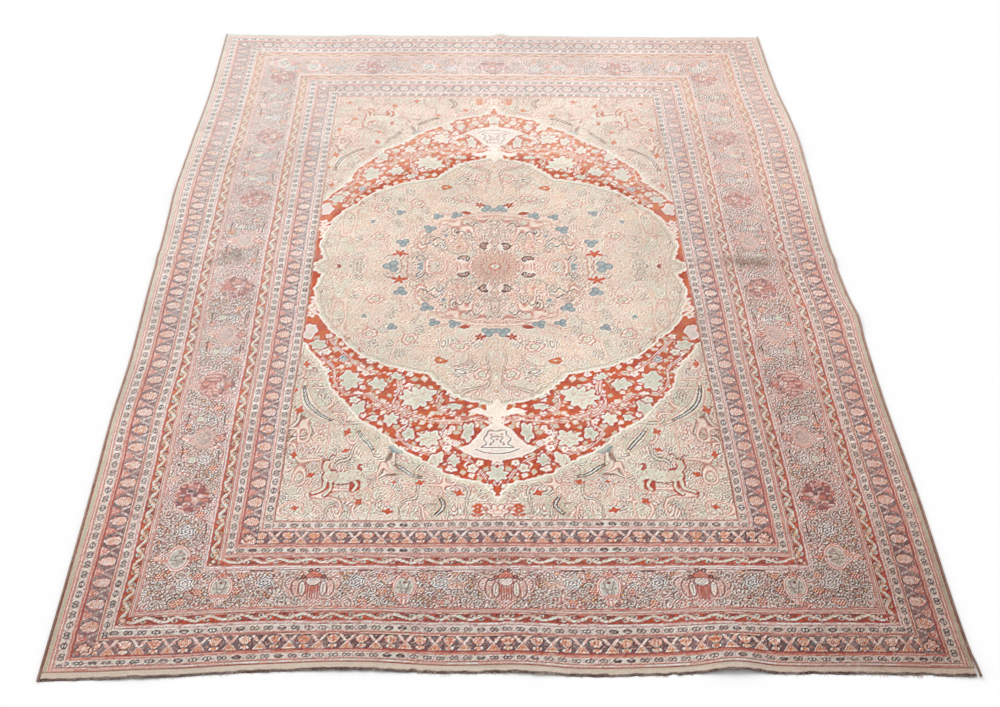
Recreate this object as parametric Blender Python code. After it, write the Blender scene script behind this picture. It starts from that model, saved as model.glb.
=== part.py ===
"""A room-size hand-knotted rug, laid flat on a floor.

The rug is five pieces: the knotted pile with its woven-in borders, an overcast
cord along each long side, and a flat-woven strip at each end whose warps have
frayed into short locks. X runs across the rug, Y along it towards its far end,
and Z up. The origin is under the middle of the whole rug, at floor level.
Everything is in metres.
"""

import bmesh
import bpy
import numpy as np

# Driving sizes
OVERALL_WIDTH = 2.540  # corner to corner, over both side cords
OVERALL_LENGTH = 3.780  # corner to corner, over both woven ends
PILE_THICKNESS = 0.007  # foundation and worn pile together
RIM_DROP = 0.002  # how far the worn rim of the pile lies under its top
RIM_WIDTH = 0.004  # width of that worn rim
CORD_WIDTH = 0.008
CORD_HEIGHT = 0.0075
CORD_CHAMFER = 0.0022
WEAVE_THICKNESS = 0.003  # the flat-woven ends have no pile
NEAR_END_WIDTH = 0.028
FAR_END_WIDTH = 0.018
GAP = 0.0003  # between neighbouring pieces

# How the outline leaves the straight line between its corners.
# Columns: place along the side, distance outward.
LEFT_BOW = (
    (-1.890, 0.000),
    (-1.500, 0.001),
    (-1.080, 0.005),
    (-0.840, 0.009),
    (-0.560, 0.004),
    (-0.160, 0.012),
    (0.150, 0.015),
    (0.500, 0.023),
    (0.880, 0.015),
    (1.310, -0.001),
    (1.890, 0.000),
)
RIGHT_BOW = (
    (-1.890, 0.000),
    (-1.690, -0.001),
    (-1.190, 0.005),
    (-0.720, 0.001),
    (-0.450, 0.006),
    (-0.300, 0.011),
    (-0.150, 0.001),
    (0.020, -0.004),
    (0.330, 0.001),
    (0.700, 0.015),
    (1.110, 0.017),
    (1.330, 0.003),
    (1.890, -0.004),
)
NEAR_BOW = (
    (-1.270, 0.000),
    (-1.000, -0.007),
    (-0.680, -0.027),
    (-0.400, -0.031),
    (-0.190, -0.020),
    (0.020, -0.020),
    (0.180, -0.008),
    (0.400, -0.010),
    (0.620, -0.020),
    (0.760, -0.013),
    (1.000, -0.011),
    (1.270, 0.000),
)
FAR_BOW = (
    (-1.270, 0.003),
    (-0.900, -0.006),
    (-0.400, 0.000),
    (0.100, 0.004),
    (0.700, -0.002),
    (1.270, 0.003),
)

# Where the cloth stands off the floor in a soft fold.
# Columns: middle x, middle y, half length in x, half length in y, height.
FOLDS = (
    (-1.270, 0.060, 0.800, 0.060, 0.0070),  # old fold line across, left part
    (1.270, 0.050, 0.800, 0.060, 0.0080),  # the same, right part
    (0.000, 0.045, 0.900, 0.050, 0.0030),  # the same, middle
    (0.610, -1.890, 0.120, 0.200, 0.0140),  # ripple of the near end
    (-0.430, -1.890, 0.260, 0.110, 0.0050),
    (0.050, -1.890, 0.150, 0.090, 0.0045),
    (-1.010, -1.890, 0.130, 0.100, 0.0040),
    (0.035, 1.890, 0.050, 0.120, 0.0100),  # ripple of the far end
    (-0.620, 1.890, 0.130, 0.100, 0.0050),
    (-1.270, 0.520, 0.120, 0.170, 0.0060),  # puckers of the long sides
    (1.270, -0.310, 0.110, 0.110, 0.0070),
    (1.270, 0.900, 0.120, 0.200, 0.0050),
    (1.270, -1.890, 0.090, 0.150, 0.0050),  # curled near right corner
)

# The worn step of the right cord near its near end.
# Columns: place along the side, distance outward.
CORD_STEP = ((-1.890, 0.0055), (-1.845, 0.0035), (-1.815, 0.0), (1.890, 0.0))

# The grid that the pile is laid on, before the lines at the folds are added
COLUMNS = 24
ROWS = 30
FOLD_STEPS = (-0.5, 0.0, 0.5)  # in half lengths of a fold
WIDE_FOLD = 0.5  # a fold with a longer half length needs no columns of its own
LEAST_SPACING = 0.018

# Frayed warp locks. Columns of each row: count, shortest, longest.
NEAR_LOCKS = (120, 0.002, 0.011)
FAR_LOCKS = (70, 0.001, 0.004)
LOCK_SHARE = 0.45  # of the strip's edge that each lock's root takes
LOCK_TAPER = 0.45  # tip over root, in width and in height
LOCK_LEAN = 0.27  # most sideways travel of a tip, over its length
LOCK_SEED = 7

# Colours are linear RGB; roughness is the same dry wool or cotton all over.
PILE_COLOUR = (0.58, 0.42, 0.34)
CORD_COLOUR = (0.60, 0.47, 0.37)
WEAVE_COLOUR = (0.66, 0.58, 0.45)
ROUGHNESS = 0.9

HALF_WIDTH = OVERALL_WIDTH / 2 - CORD_WIDTH - GAP
PILE_NEAR = -OVERALL_LENGTH / 2 + NEAR_END_WIDTH + GAP
PILE_FAR = OVERALL_LENGTH / 2 - FAR_END_WIDTH - GAP


def clear_scene():
    """Take every object out of the open file."""
    for obj in list(bpy.data.objects):
        bpy.data.objects.remove(obj, do_unlink=True)


def smooth_through(rows, at):
    """A smooth curve through a table's rows: cubic, with slopes from its neighbours."""
    along, value = np.array(rows).T
    slope = np.gradient(value, along)
    at = np.clip(at, along[0], along[-1])
    k = np.clip(np.searchsorted(along, at) - 1, 0, len(along) - 2)
    span = along[k + 1] - along[k]
    t = (at - along[k]) / span
    start = (1 + 2 * t) * (1 - t) ** 2 * value[k] + t * (1 - t) ** 2 * span * slope[k]
    end = t**2 * (3 - 2 * t) * value[k + 1] + t**2 * (t - 1) * span * slope[k + 1]
    return start + end


def bow(rows, at, places):
    """The outward travel of one side, straight from one of the grid's places to the next."""
    return np.interp(at, places, smooth_through(rows, places))


def spread(x, y):
    """Move a point of the straight rug to its place in the uneven outline."""
    right = 0.5 + x / OVERALL_WIDTH
    far = 0.5 + y / OVERALL_LENGTH
    columns, rows = grid_places()
    out_x = right * bow(RIGHT_BOW, y, rows) - (1 - right) * bow(LEFT_BOW, y, rows)
    out_y = far * bow(FAR_BOW, x, columns) - (1 - far) * bow(NEAR_BOW, x, columns)
    return x + out_x, y + out_y


def lift(x, y):
    """Height of the underside over the floor: the sum of the folds' soft bumps."""
    height = np.zeros(np.broadcast(x, y).shape)
    for mid_x, mid_y, half_x, half_y, rise in FOLDS:
        across = np.clip(1 - ((x - mid_x) / half_x) ** 2, 0, None) ** 2
        along = np.clip(1 - ((y - mid_y) / half_y) ** 2, 0, None) ** 2
        height = height + rise * across * along
    return height


def stations(low, high, count, mids_and_halves):
    """Even places from low to high, with five more across each fold and two at each rim."""
    places = list(np.linspace(low, high, count + 1))
    for mid, half in mids_and_halves:
        places += [mid + half * step for step in FOLD_STEPS]
    kept = [low, low + RIM_WIDTH]
    for place in sorted(places):
        if kept[-1] + LEAST_SPACING < place < high - LEAST_SPACING:
            kept.append(place)
    return np.array([*kept, high - RIM_WIDTH, high])


def grid_places():
    """The columns and rows of the pile's grid, which every neighbour's edge follows."""
    across = [(row[0], row[2]) for row in FOLDS if row[2] < WIDE_FOLD]
    along = [(row[1], row[3]) for row in FOLDS]
    columns = stations(-HALF_WIDTH, HALF_WIDTH, COLUMNS, across)
    rows = stations(PILE_NEAR, PILE_FAR, ROWS, along)
    return columns, rows


def grid_faces(bm, points):
    """Add a sheet of quads through a grid of points, and return its vertices by row."""
    rows = [[bm.verts.new(p) for p in row] for row in points]
    for lower, upper in zip(rows, rows[1:]):
        for a, b, c, d in zip(lower, lower[1:], upper[1:], upper):
            bm.faces.new((a, b, c, d))
    return rows


def thicken(bm, thickness):
    """Extrude the sheet straight up, by the height given for each of its vertices."""
    layer = bm.verts.layers.float.new("thickness")
    for vert, height in zip(bm.verts, thickness):
        vert[layer] = height
    made = bmesh.ops.extrude_face_region(bm, geom=bm.faces[:], use_keep_orig=True)
    for vert in (part for part in made["geom"] if isinstance(part, bmesh.types.BMVert)):
        vert.co.z += vert[layer]
    bm.verts.layers.float.remove(layer)


def finish_object(bm, name, material):
    """Turn the bmesh into a named object in the scene, with its normals outward."""
    bmesh.ops.recalc_face_normals(bm, faces=bm.faces)
    mesh = bpy.data.meshes.new(name)
    bm.to_mesh(mesh)
    bm.free()
    mesh.materials.append(material)
    obj = bpy.data.objects.new(name, mesh)
    bpy.context.scene.collection.objects.link(obj)
    return obj


def make_material(name, colour):
    """A plain matt material of one colour."""
    material = bpy.data.materials.new(name)
    material.use_nodes = True
    shader = material.node_tree.nodes["Principled BSDF"]
    shader.inputs["Base Color"].default_value = (*colour, 1.0)
    shader.inputs["Roughness"].default_value = ROUGHNESS
    shader.inputs["Metallic"].default_value = 0.0
    return material


def make_knotted_pile(material):
    """The knotted cloth, thinner at its worn rim, lying on the folds."""
    x, y = np.meshgrid(*grid_places())
    points = np.stack([*spread(x, y), lift(x, y)], axis=-1)
    rim = np.zeros(x.shape, bool)
    rim[[0, -1], :] = True
    rim[:, [0, -1]] = True
    bm = bmesh.new()
    grid_faces(bm, points)
    thicken(bm, (PILE_THICKNESS - RIM_DROP * rim).ravel())
    return finish_object(bm, "knotted_pile", material)


def cord_profile():
    """The cord's section, flat underneath, as offsets outward and up."""
    w, h, c = CORD_WIDTH, CORD_HEIGHT, CORD_CHAMFER
    return ((c, 0), (w - c, 0), (w, c), (w, h - c), (w - c, h), (c, h), (0, h - c), (0, c))


def make_side_cord(name, side, step_rows, material):
    """A cord carried along one long side. side is -1 on the left and +1 on the right."""
    _, rows = grid_places()
    step = [row[0] for row in CORD_STEP[:-1]]
    y = np.unique([-OVERALL_LENGTH / 2, *step, *rows, OVERALL_LENGTH / 2])
    inner = np.full_like(y, side * (HALF_WIDTH + GAP))
    place_x, place_y = spread(inner, y)
    place_x = place_x + side * np.interp(y, *np.array(step_rows).T)
    ground = lift(inner, y)
    bm = bmesh.new()
    rings = [
        [bm.verts.new((px + side * out, py, g + up)) for out, up in cord_profile()]
        for px, py, g in zip(place_x, place_y, ground)
    ]
    for lower, upper in zip(rings, rings[1:]):
        for k in range(len(lower)):
            bm.faces.new((lower[k - 1], lower[k], upper[k], upper[k - 1]))
    bm.faces.new(rings[0])
    bm.faces.new(rings[-1])
    return finish_object(bm, name, material)


def make_woven_end(name, end, width, locks, material):
    """A flat-woven strip with frayed locks. end is -1 at the near end and +1 at the far end."""
    count, shortest, longest = locks
    rng = np.random.default_rng(LOCK_SEED + end)
    columns, _ = grid_places()
    pitch = 2 * HALF_WIDTH / count
    starts = -HALF_WIDTH + pitch * (np.arange(count) + (1 - LOCK_SHARE) / 2)
    ends = starts + LOCK_SHARE * pitch
    whole = np.searchsorted(columns, starts - GAP) == np.searchsorted(columns, ends + GAP)
    starts, ends = starts[whole], ends[whole]
    x = np.sort(np.concatenate([columns, starts, ends]))
    inner_y = PILE_NEAR - GAP if end < 0 else PILE_FAR + GAP
    y = np.array([inner_y, inner_y + end * width])
    x, y = np.meshgrid(x, y)
    points = np.stack([*spread(x, y), lift(x, y)], axis=-1)
    bm = bmesh.new()
    _, outer = grid_faces(bm, points)
    roots = [bm.edges.get((outer[k], outer[k + 1])) for k in np.searchsorted(x[0], starts)]
    underside = set(bm.faces)
    thicken(bm, np.full(x.size, WEAVE_THICKNESS))
    walls = [face for edge in roots for face in edge.link_faces if face not in underside]
    tips = bmesh.ops.extrude_discrete_faces(bm, faces=walls)["faces"]
    tips.sort(key=lambda face: face.calc_center_median().x)
    lengths = rng.uniform(shortest, longest, len(tips))
    leans = rng.uniform(-LOCK_LEAN, LOCK_LEAN, len(tips)) * lengths
    for face, length, lean in zip(tips, lengths, leans):
        draw_lock(face, end * length, lean)
    return finish_object(bm, name, material)


def draw_lock(tip, reach, lean):
    """Pull a lock's tip out of its root, narrower and thinner, its underside kept level."""
    middle = tip.calc_center_median()
    ground = min(vert.co.z for vert in tip.verts)
    for vert in tip.verts:
        vert.co.x = middle.x + LOCK_TAPER * (vert.co.x - middle.x) + lean
        vert.co.y += reach
        vert.co.z = ground + LOCK_TAPER * (vert.co.z - ground)


def stand_on_origin(objects):
    """Move the pieces together, so that the whole rug's middle is over the origin."""
    points = np.array([tuple(v.co) for obj in objects for v in obj.data.vertices])
    middle = (points.min(axis=0) + points.max(axis=0)) / 2
    for obj in objects:
        for vert in obj.data.vertices:
            vert.co.x -= middle[0]
            vert.co.y -= middle[1]


def main():
    clear_scene()
    pile = make_material("knotted wool", PILE_COLOUR)
    cord = make_material("overcast wool", CORD_COLOUR)
    weave = make_material("cotton weave", WEAVE_COLOUR)
    straight = ((-OVERALL_LENGTH / 2, 0.0), (OVERALL_LENGTH / 2, 0.0))
    stand_on_origin(
        [
            make_knotted_pile(pile),
            make_side_cord("side_cord_left", -1, straight, cord),
            make_side_cord("side_cord_right", 1, CORD_STEP, cord),
            make_woven_end("woven_end_near", -1, NEAR_END_WIDTH, NEAR_LOCKS, weave),
            make_woven_end("woven_end_far", 1, FAR_END_WIDTH, FAR_LOCKS, weave),
        ]
    )


main()
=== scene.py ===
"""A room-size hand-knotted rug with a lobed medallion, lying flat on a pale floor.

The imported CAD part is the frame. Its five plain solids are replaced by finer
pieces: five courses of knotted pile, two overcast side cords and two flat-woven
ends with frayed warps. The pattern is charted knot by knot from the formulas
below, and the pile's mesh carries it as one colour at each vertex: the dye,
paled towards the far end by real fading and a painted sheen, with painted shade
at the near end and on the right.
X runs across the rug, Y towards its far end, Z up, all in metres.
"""

import logging
import math
from collections.abc import Sequence
from dataclasses import dataclass
from enum import Enum

import bpy
import numpy as np
from mathutils import Matrix, Vector


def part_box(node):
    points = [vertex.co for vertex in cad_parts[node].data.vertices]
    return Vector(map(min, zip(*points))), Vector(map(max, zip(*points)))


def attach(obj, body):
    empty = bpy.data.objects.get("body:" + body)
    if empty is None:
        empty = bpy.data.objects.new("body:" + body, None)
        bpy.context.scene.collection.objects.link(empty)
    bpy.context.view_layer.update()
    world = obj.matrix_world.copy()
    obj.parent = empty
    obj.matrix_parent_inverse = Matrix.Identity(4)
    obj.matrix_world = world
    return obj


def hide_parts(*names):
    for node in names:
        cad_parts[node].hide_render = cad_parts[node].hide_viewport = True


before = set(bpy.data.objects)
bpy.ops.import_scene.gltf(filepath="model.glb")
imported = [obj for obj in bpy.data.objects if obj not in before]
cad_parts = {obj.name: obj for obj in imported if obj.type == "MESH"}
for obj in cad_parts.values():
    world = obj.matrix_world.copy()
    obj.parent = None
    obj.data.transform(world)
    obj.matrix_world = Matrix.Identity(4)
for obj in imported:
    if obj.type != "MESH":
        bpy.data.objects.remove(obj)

Array = np.ndarray
Point = tuple[float, float]
Log = logging.getLogger("rug")

KNOT = 0.0015  # spacing of the knots that the pattern is charted on
BODY = "root"


# Sizes of the cloth.


@dataclass(frozen=True)
class Cloth:
    """The rug's own sizes, as in the part's source."""

    width: float = 2.54
    length: float = 3.78
    pile_thickness: float = 0.007
    rim_drop: float = 0.002
    rim_width: float = 0.004
    cord_width: float = 0.008
    cord_height: float = 0.0075
    weave_thickness: float = 0.003
    near_end: float = 0.028
    far_end: float = 0.018
    gap: float = 0.0003

    @property
    def half_width(self) -> float:
        """Half the width of the pile, between the cords."""
        return self.width / 2 - self.cord_width - self.gap

    @property
    def pile_near(self) -> float:
        """Y of the pile's near edge."""
        return -self.length / 2 + self.near_end + self.gap

    @property
    def pile_far(self) -> float:
        """Y of the pile's far edge."""
        return self.length / 2 - self.far_end - self.gap


CLOTH = Cloth()
HALF_W = CLOTH.width / 2
HALF_L = CLOTH.length / 2

# How the outline leaves the straight line between its corners.
# Columns: place along the side, distance outward.
LEFT_BOW = (
    (-1.89, 0.0), (-1.5, 0.001), (-1.08, 0.005), (-0.84, 0.009), (-0.56, 0.004), (-0.16, 0.012),
    (0.15, 0.015), (0.5, 0.023), (0.88, 0.015), (1.31, -0.001), (1.89, 0.0),
)
RIGHT_BOW = (
    (-1.89, 0.0), (-1.69, -0.001), (-1.19, 0.005), (-0.72, 0.001), (-0.45, 0.006), (-0.3, 0.011),
    (-0.15, 0.001), (0.02, -0.004), (0.33, 0.001), (0.7, 0.015), (1.11, 0.017), (1.33, 0.003),
    (1.89, -0.004),
)
NEAR_BOW = (
    (-1.27, 0.0), (-1.0, -0.007), (-0.68, -0.027), (-0.4, -0.031), (-0.19, -0.02), (0.02, -0.02),
    (0.18, -0.008), (0.4, -0.01), (0.62, -0.02), (0.76, -0.013), (1.0, -0.011), (1.27, 0.0),
)
FAR_BOW = (
    (-1.27, 0.003), (-0.9, -0.006), (-0.4, 0.0), (0.1, 0.004), (0.7, -0.002), (1.27, 0.003),
)
CORD_STEP = ((-1.89, 0.0055), (-1.845, 0.0035), (-1.815, 0.0), (1.89, 0.0))

# Where the cloth stands off the floor in a soft fold.
# Columns: middle x, middle y, half length in x, half length in y, height.
FOLDS = (
    (-1.27, 0.06, 0.8, 0.06, 0.007), (1.27, 0.05, 0.8, 0.06, 0.008), (0.0, 0.045, 0.9, 0.05, 0.003),
    (0.61, -1.89, 0.12, 0.2, 0.014), (-0.43, -1.89, 0.26, 0.11, 0.005),
    (0.05, -1.89, 0.15, 0.09, 0.0045), (-1.01, -1.89, 0.13, 0.1, 0.004),
    (0.035, 1.89, 0.05, 0.12, 0.01), (-0.62, 1.89, 0.13, 0.1, 0.005), (-1.27, 0.52, 0.12, 0.17, 0.006),
    (1.27, -0.31, 0.11, 0.11, 0.007), (1.27, 0.9, 0.12, 0.2, 0.005), (1.27, -1.89, 0.09, 0.15, 0.005),
)


# Small formulas.


def unit(value: Array) -> Array:
    """Values kept between 0 and 1."""
    return np.clip(value, 0, 1)


def round_about(angle: Array) -> Array:
    """The point at each angle of a circle of radius 1."""
    return np.stack([np.cos(angle), np.sin(angle)], axis=-1)


def rows_through(rows: Sequence[Sequence[float]], at: Array) -> Array:
    """A smooth curve through a table's rows.

    Between two rows it is the cubic whose slopes are those of the neighbouring rows.

    Args:
        rows: place and value of each row, in order of place.
        at: the places to read.

    Returns:
        The value at each place.
    """
    along, value = np.array(rows, float).T
    slope = np.gradient(value, along)
    at = np.clip(at, along[0], along[-1])
    k = np.clip(np.searchsorted(along, at) - 1, 0, len(along) - 2)
    span = along[k + 1] - along[k]
    t = (at - along[k]) / span
    start = (1 + 2 * t) * (1 - t) ** 2 * value[k] + t * (1 - t) ** 2 * span * slope[k]
    end = t**2 * (3 - 2 * t) * value[k + 1] + t**2 * (t - 1) * span * slope[k + 1]
    return start + end


def spread(x: Array, y: Array) -> tuple[Array, Array]:
    """Move points of the straight rug to their places in its uneven outline.

    A point's travel is shared between the two sides by how near it is to each.

    Args:
        x: place across the straight rug.
        y: place along it.

    Returns:
        The moved x and y.
    """
    right = 0.5 + x / CLOTH.width
    far = 0.5 + y / CLOTH.length
    out_x = right * rows_through(RIGHT_BOW, y) - (1 - right) * rows_through(LEFT_BOW, y)
    out_y = far * rows_through(FAR_BOW, x) - (1 - far) * rows_through(NEAR_BOW, x)
    return x + out_x, y + out_y


def find_shift() -> Point:
    """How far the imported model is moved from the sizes' own origin.

    Returns:
        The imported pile's middle less the middle that the outline's formula gives.
    """
    low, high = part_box("knotted_pile")
    side = np.linspace(CLOTH.pile_near, CLOTH.pile_far, 400)
    end = np.linspace(-CLOTH.half_width, CLOTH.half_width, 400)
    xs = [spread(np.full_like(side, k * CLOTH.half_width), side)[0] for k in (-1, 1)]
    ys = [spread(end, np.full_like(end, k))[1] for k in (CLOTH.pile_near, CLOTH.pile_far)]
    return (
        float((low.x + high.x) / 2 - (xs[0].min() + xs[1].max()) / 2),
        float((low.y + high.y) / 2 - (ys[0].min() + ys[1].max()) / 2),
    )


SHIFT = find_shift()


def lift(x: Array, y: Array) -> Array:
    """Height of the underside over the floor: the sum of the folds' soft bumps.

    Args:
        x: place across the straight rug.
        y: place along it.

    Returns:
        The height, each bump being the product of two squared parabolas.
    """
    height = np.zeros(np.broadcast(x, y).shape)
    for mid_x, mid_y, half_x, half_y, rise in FOLDS:
        across = np.clip(1 - ((x - mid_x) / half_x) ** 2, 0, None) ** 2
        along = np.clip(1 - ((y - mid_y) / half_y) ** 2, 0, None) ** 2
        height = height + rise * across * along
    return height


def cloud(x: Array, y: Array, size: float, seed: int) -> Array:
    """Soft noise from -1 to 1.

    Random heights stand on the corners of squares of the given size, and are
    eased from corner to corner.

    Args:
        x: places across.
        y: places along.
        size: side of a square, in metres.
        seed: which heights.

    Returns:
        The height at each place.
    """
    table = np.random.default_rng(seed).uniform(-1, 1, (256, 256)).astype(np.float32)
    u, v = np.broadcast_arrays(x / size + 97.3, y / size + 61.7)
    i, j = np.floor(u).astype(int), np.floor(v).astype(int)
    fu, fv = u - i, v - j
    fu, fv = fu * fu * (3 - 2 * fu), fv * fv * (3 - 2 * fv)
    i, j, i1, j1 = i % 256, j % 256, (i + 1) % 256, (j + 1) % 256
    low = table[j, i] * (1 - fu) + table[j, i1] * fu
    high = table[j1, i] * (1 - fu) + table[j1, i1] * fu
    return low * (1 - fv) + high * fv


def growth(x: Array, y: Array, pitch: float, seed: int) -> tuple[Array, Array, Array]:
    """Where a place is in the plant that it belongs to.

    One plant stands at random in every square of a grid, each turned its own
    way, and a place belongs to the nearest.

    Args:
        x: places across.
        y: places along.
        pitch: side of a square.
        seed: which plants.

    Returns:
        How far along and across the plant the place is, and the plant's lot from 0 to 1.
    """
    table = np.random.default_rng(seed).random((64, 64, 4)).astype(np.float32)
    u, v = np.broadcast_arrays(x / pitch + 32, y / pitch + 32)
    best = np.full(u.shape, 9.0)
    found = np.zeros((4, *u.shape), np.float32)
    for di in (-1, 0, 1):
        for dj in (-1, 0, 1):
            i, j = np.floor(u).astype(int) + di, np.floor(v).astype(int) + dj
            own = table[j % 64, i % 64]
            du, dv = u - i - own[..., 0], v - j - own[..., 1]
            nearer = np.hypot(du, dv) < best
            best = np.where(nearer, np.hypot(du, dv), best)
            found = np.where(nearer, (du, dv, own[..., 2], own[..., 3]), found)
    c, s = np.cos(2 * math.pi * found[2]), np.sin(2 * math.pi * found[2])
    return (found[0] * c + found[1] * s) * pitch, (found[1] * c - found[0] * s) * pitch, found[3]


def ragged(outline: Array, reach: float, seed: int) -> Array:
    """An outline moved in and out by soft noise, with its v still growing.

    Args:
        outline: its u and v.
        reach: how far it is moved.
        seed: chooses the noise.

    Returns:
        The moved outline.
    """
    u, v = outline.T
    moved = v + 0.7 * reach * cloud(u, v, 0.014, seed)
    return np.stack([u + reach * cloud(v, u, 0.012, seed + 1), np.maximum.accumulate(moved)], axis=-1)


def soft(inside: Array) -> Array:
    """Cover from 0 to 1 of a shape, from how far inside it a knot is, in metres."""
    return unit(inside / KNOT + 0.5)


def smooth_line(points: Sequence[Point], step: float = KNOT) -> Array:
    """Evenly spaced points on a smooth curve through some points.

    Args:
        points: the points to pass through.
        step: spacing of the result.

    Returns:
        An array of points, each coordinate being a cubic of the length so far.
    """
    given = np.array(points, float)
    far = np.concatenate([[0], np.cumsum(np.hypot(*np.diff(given, axis=0).T))])
    at = np.linspace(0, far[-1], max(3, int(far[-1] / step)))
    return np.stack([rows_through(list(zip(far, given[:, k])), at) for k in (0, 1)], axis=-1)


def bulged_line(corners: Sequence[Sequence[float]], step: float = KNOT) -> Array:
    """Points on a chain of arcs.

    Each arc is the straight line to the next corner, pushed to its right by
    bulge times 4 t (1 - t).

    Args:
        corners: x, y and the bulge of the arc that starts there.
        step: spacing of the result.

    Returns:
        An array of points.
    """
    parts = []
    for (x0, y0, bulge), (x1, y1, _) in zip(corners, corners[1:]):
        long = math.hypot(x1 - x0, y1 - y0)
        t = np.linspace(0, 1, max(4, int(1.3 * long / step)))
        push = 4 * t * (1 - t) * bulge / long
        parts.append(
            np.stack(
                [x0 + (x1 - x0) * t + (y1 - y0) * push, y0 + (y1 - y0) * t - (x1 - x0) * push],
                axis=-1,
            )
        )
    return np.concatenate(parts)


def spirals(centres: Array, size: Array, turns: float, start: Array, hand: Array) -> Array:
    """Curling stems, each winding in to its centre.

    The distance from the centre falls evenly to a fifth while the angle turns.

    Args:
        centres: one row for each stem.
        size: outer distance from the centre.
        turns: how many turns each makes.
        start: angle of the outer end.
        hand: 1 for one way round, -1 for the other.

    Returns:
        Points, stems by steps by 2.
    """
    t = np.linspace(0, 1, 60)[None, :]
    reach = size[:, None] * (1 - 0.8 * t)
    angle = start[:, None] + hand[:, None] * 2 * math.pi * turns * t
    ring = round_about(angle)
    return centres[:, None, :] + reach[..., None] * ring


def scatter(rng: np.random.Generator, low: Point, high: Point, pitch: float) -> Array:
    """Places on a staggered grid, each moved a little at random.

    Args:
        rng: the random source.
        low: lowest corner of the area.
        high: its highest corner.
        pitch: spacing of the grid.

    Returns:
        One row for each place.
    """
    x, y = np.meshgrid(
        np.arange(low[0], high[0] + pitch, pitch), np.arange(low[1], high[1] + pitch, pitch * 0.87)
    )
    x = x + pitch / 2 * (np.arange(len(x)) % 2)[:, None]
    spots = np.stack([x.ravel(), y.ravel()], axis=-1)
    return spots + rng.uniform(-0.3, 0.3, spots.shape) * pitch


# Dyes and the chart.


class Dye(Enum):
    """The wool's dyes as they are at the fresher near end: red, green, blue of 255."""

    IVORY = (246, 230, 214)
    CREAM = (238, 214, 200)
    PALE = (222, 202, 195)
    SAND = (203, 186, 166)
    SAGE = (180, 173, 149)
    MINT = (196, 204, 180)
    TAN = (190, 160, 142)
    MADDER = (194, 84, 50)
    BRICK = (168, 66, 50)
    ROSE = (186, 112, 98)
    PINK = (208, 156, 142)
    PEACH = (206, 144, 104)
    ORANGE = (198, 112, 66)
    LILAC = (158, 128, 124)
    SLATE = (122, 106, 112)
    BLUE = (132, 146, 150)
    NAVY = (96, 74, 76)
    MAROON = (134, 70, 70)
    BROWN = (100, 70, 60)
    INK = (74, 50, 48)
    LEAF = (218, 214, 194)
    MIST = (204, 202, 184)

    @property
    def rgb(self) -> Array:
        """The dye as an array."""
        return np.array(self.value, np.float32)


(
    IVORY, CREAM, PALE, SAND, SAGE, MINT, TAN, MADDER, BRICK, ROSE, PINK, PEACH,
    ORANGE, LILAC, SLATE, BLUE, NAVY, MAROON, BROWN, INK, LEAF, MIST,
) = Dye


def between(a: Dye, b: Dye, share: Array) -> Array:
    """Wool whose colour goes from one dye to another by a share from 0 to 1."""
    return a.rgb + np.asarray(share, np.float32)[..., None] * (b.rgb - a.rgb)


def over(base: Array, cover: Array, dye: Dye | Array) -> Array:
    """Lay a dye over a colour where the cover says."""
    top = dye.rgb if isinstance(dye, Dye) else dye
    return base + np.asarray(cover, np.float32)[..., None] * (top - base)


def layered(base: Array, *layers: tuple[Array, Dye | Array]) -> Array:
    """Lay several dyes over a colour, one after the other.

    Args:
        base: the colour underneath.
        layers: each one's cover from 0 to 1, and its dye.

    Returns:
        The colour seen.
    """
    for cover, dye in layers:
        base = over(base, cover, dye)
    return base


def engraved(
    rgb: Array,
    x: Array,
    y: Array,
    plan: tuple[float, int],
    dyes: Sequence[Dye],
    strength: Array | float,
    light: Dye = IVORY,
) -> Array:
    """Fill a ground with flowers and leaves drawn in close fine lines, one inside the other.

    A plant's lines are the crests of a wave of its own distance: for a flower
    r (1.1 + 0.25 cos(petals angle)), for a leaf an ellipse's, both uneven by soft noise.

    Args:
        rgb: the ground.
        x: places across.
        y: places along.
        plan: spacing of the plants, and which they are.
        dyes: the lines' dyes.
        strength: how much of them shows.
        light: the wool between them.

    Returns:
        The colour of every knot.
    """
    p, q, lot = growth(x, y * 0.82, *plan)
    flower = np.hypot(p, q) * (1.1 + 0.25 * np.cos(np.floor(4 + 8 * lot) * np.arctan2(q, p)))
    leaf = np.hypot(0.6 * p, 1.35 * q)
    reach = np.where(lot < 0.5, flower, leaf) + 0.0024 * cloud(x, y, 0.01, plan[1])
    wave = np.cos(2 * math.pi * reach / (0.0078 + 0.0036 * (lot * 7 % 1)) + 9 * lot)
    tints = np.array([dye.rgb for dye in dyes])[(lot * 997).astype(int) % len(dyes)]
    rgb = over(rgb, strength * unit(1.8 * wave - 0.35), tints)
    return over(rgb, strength * unit(-1.8 * wave - 0.7), light)


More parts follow.
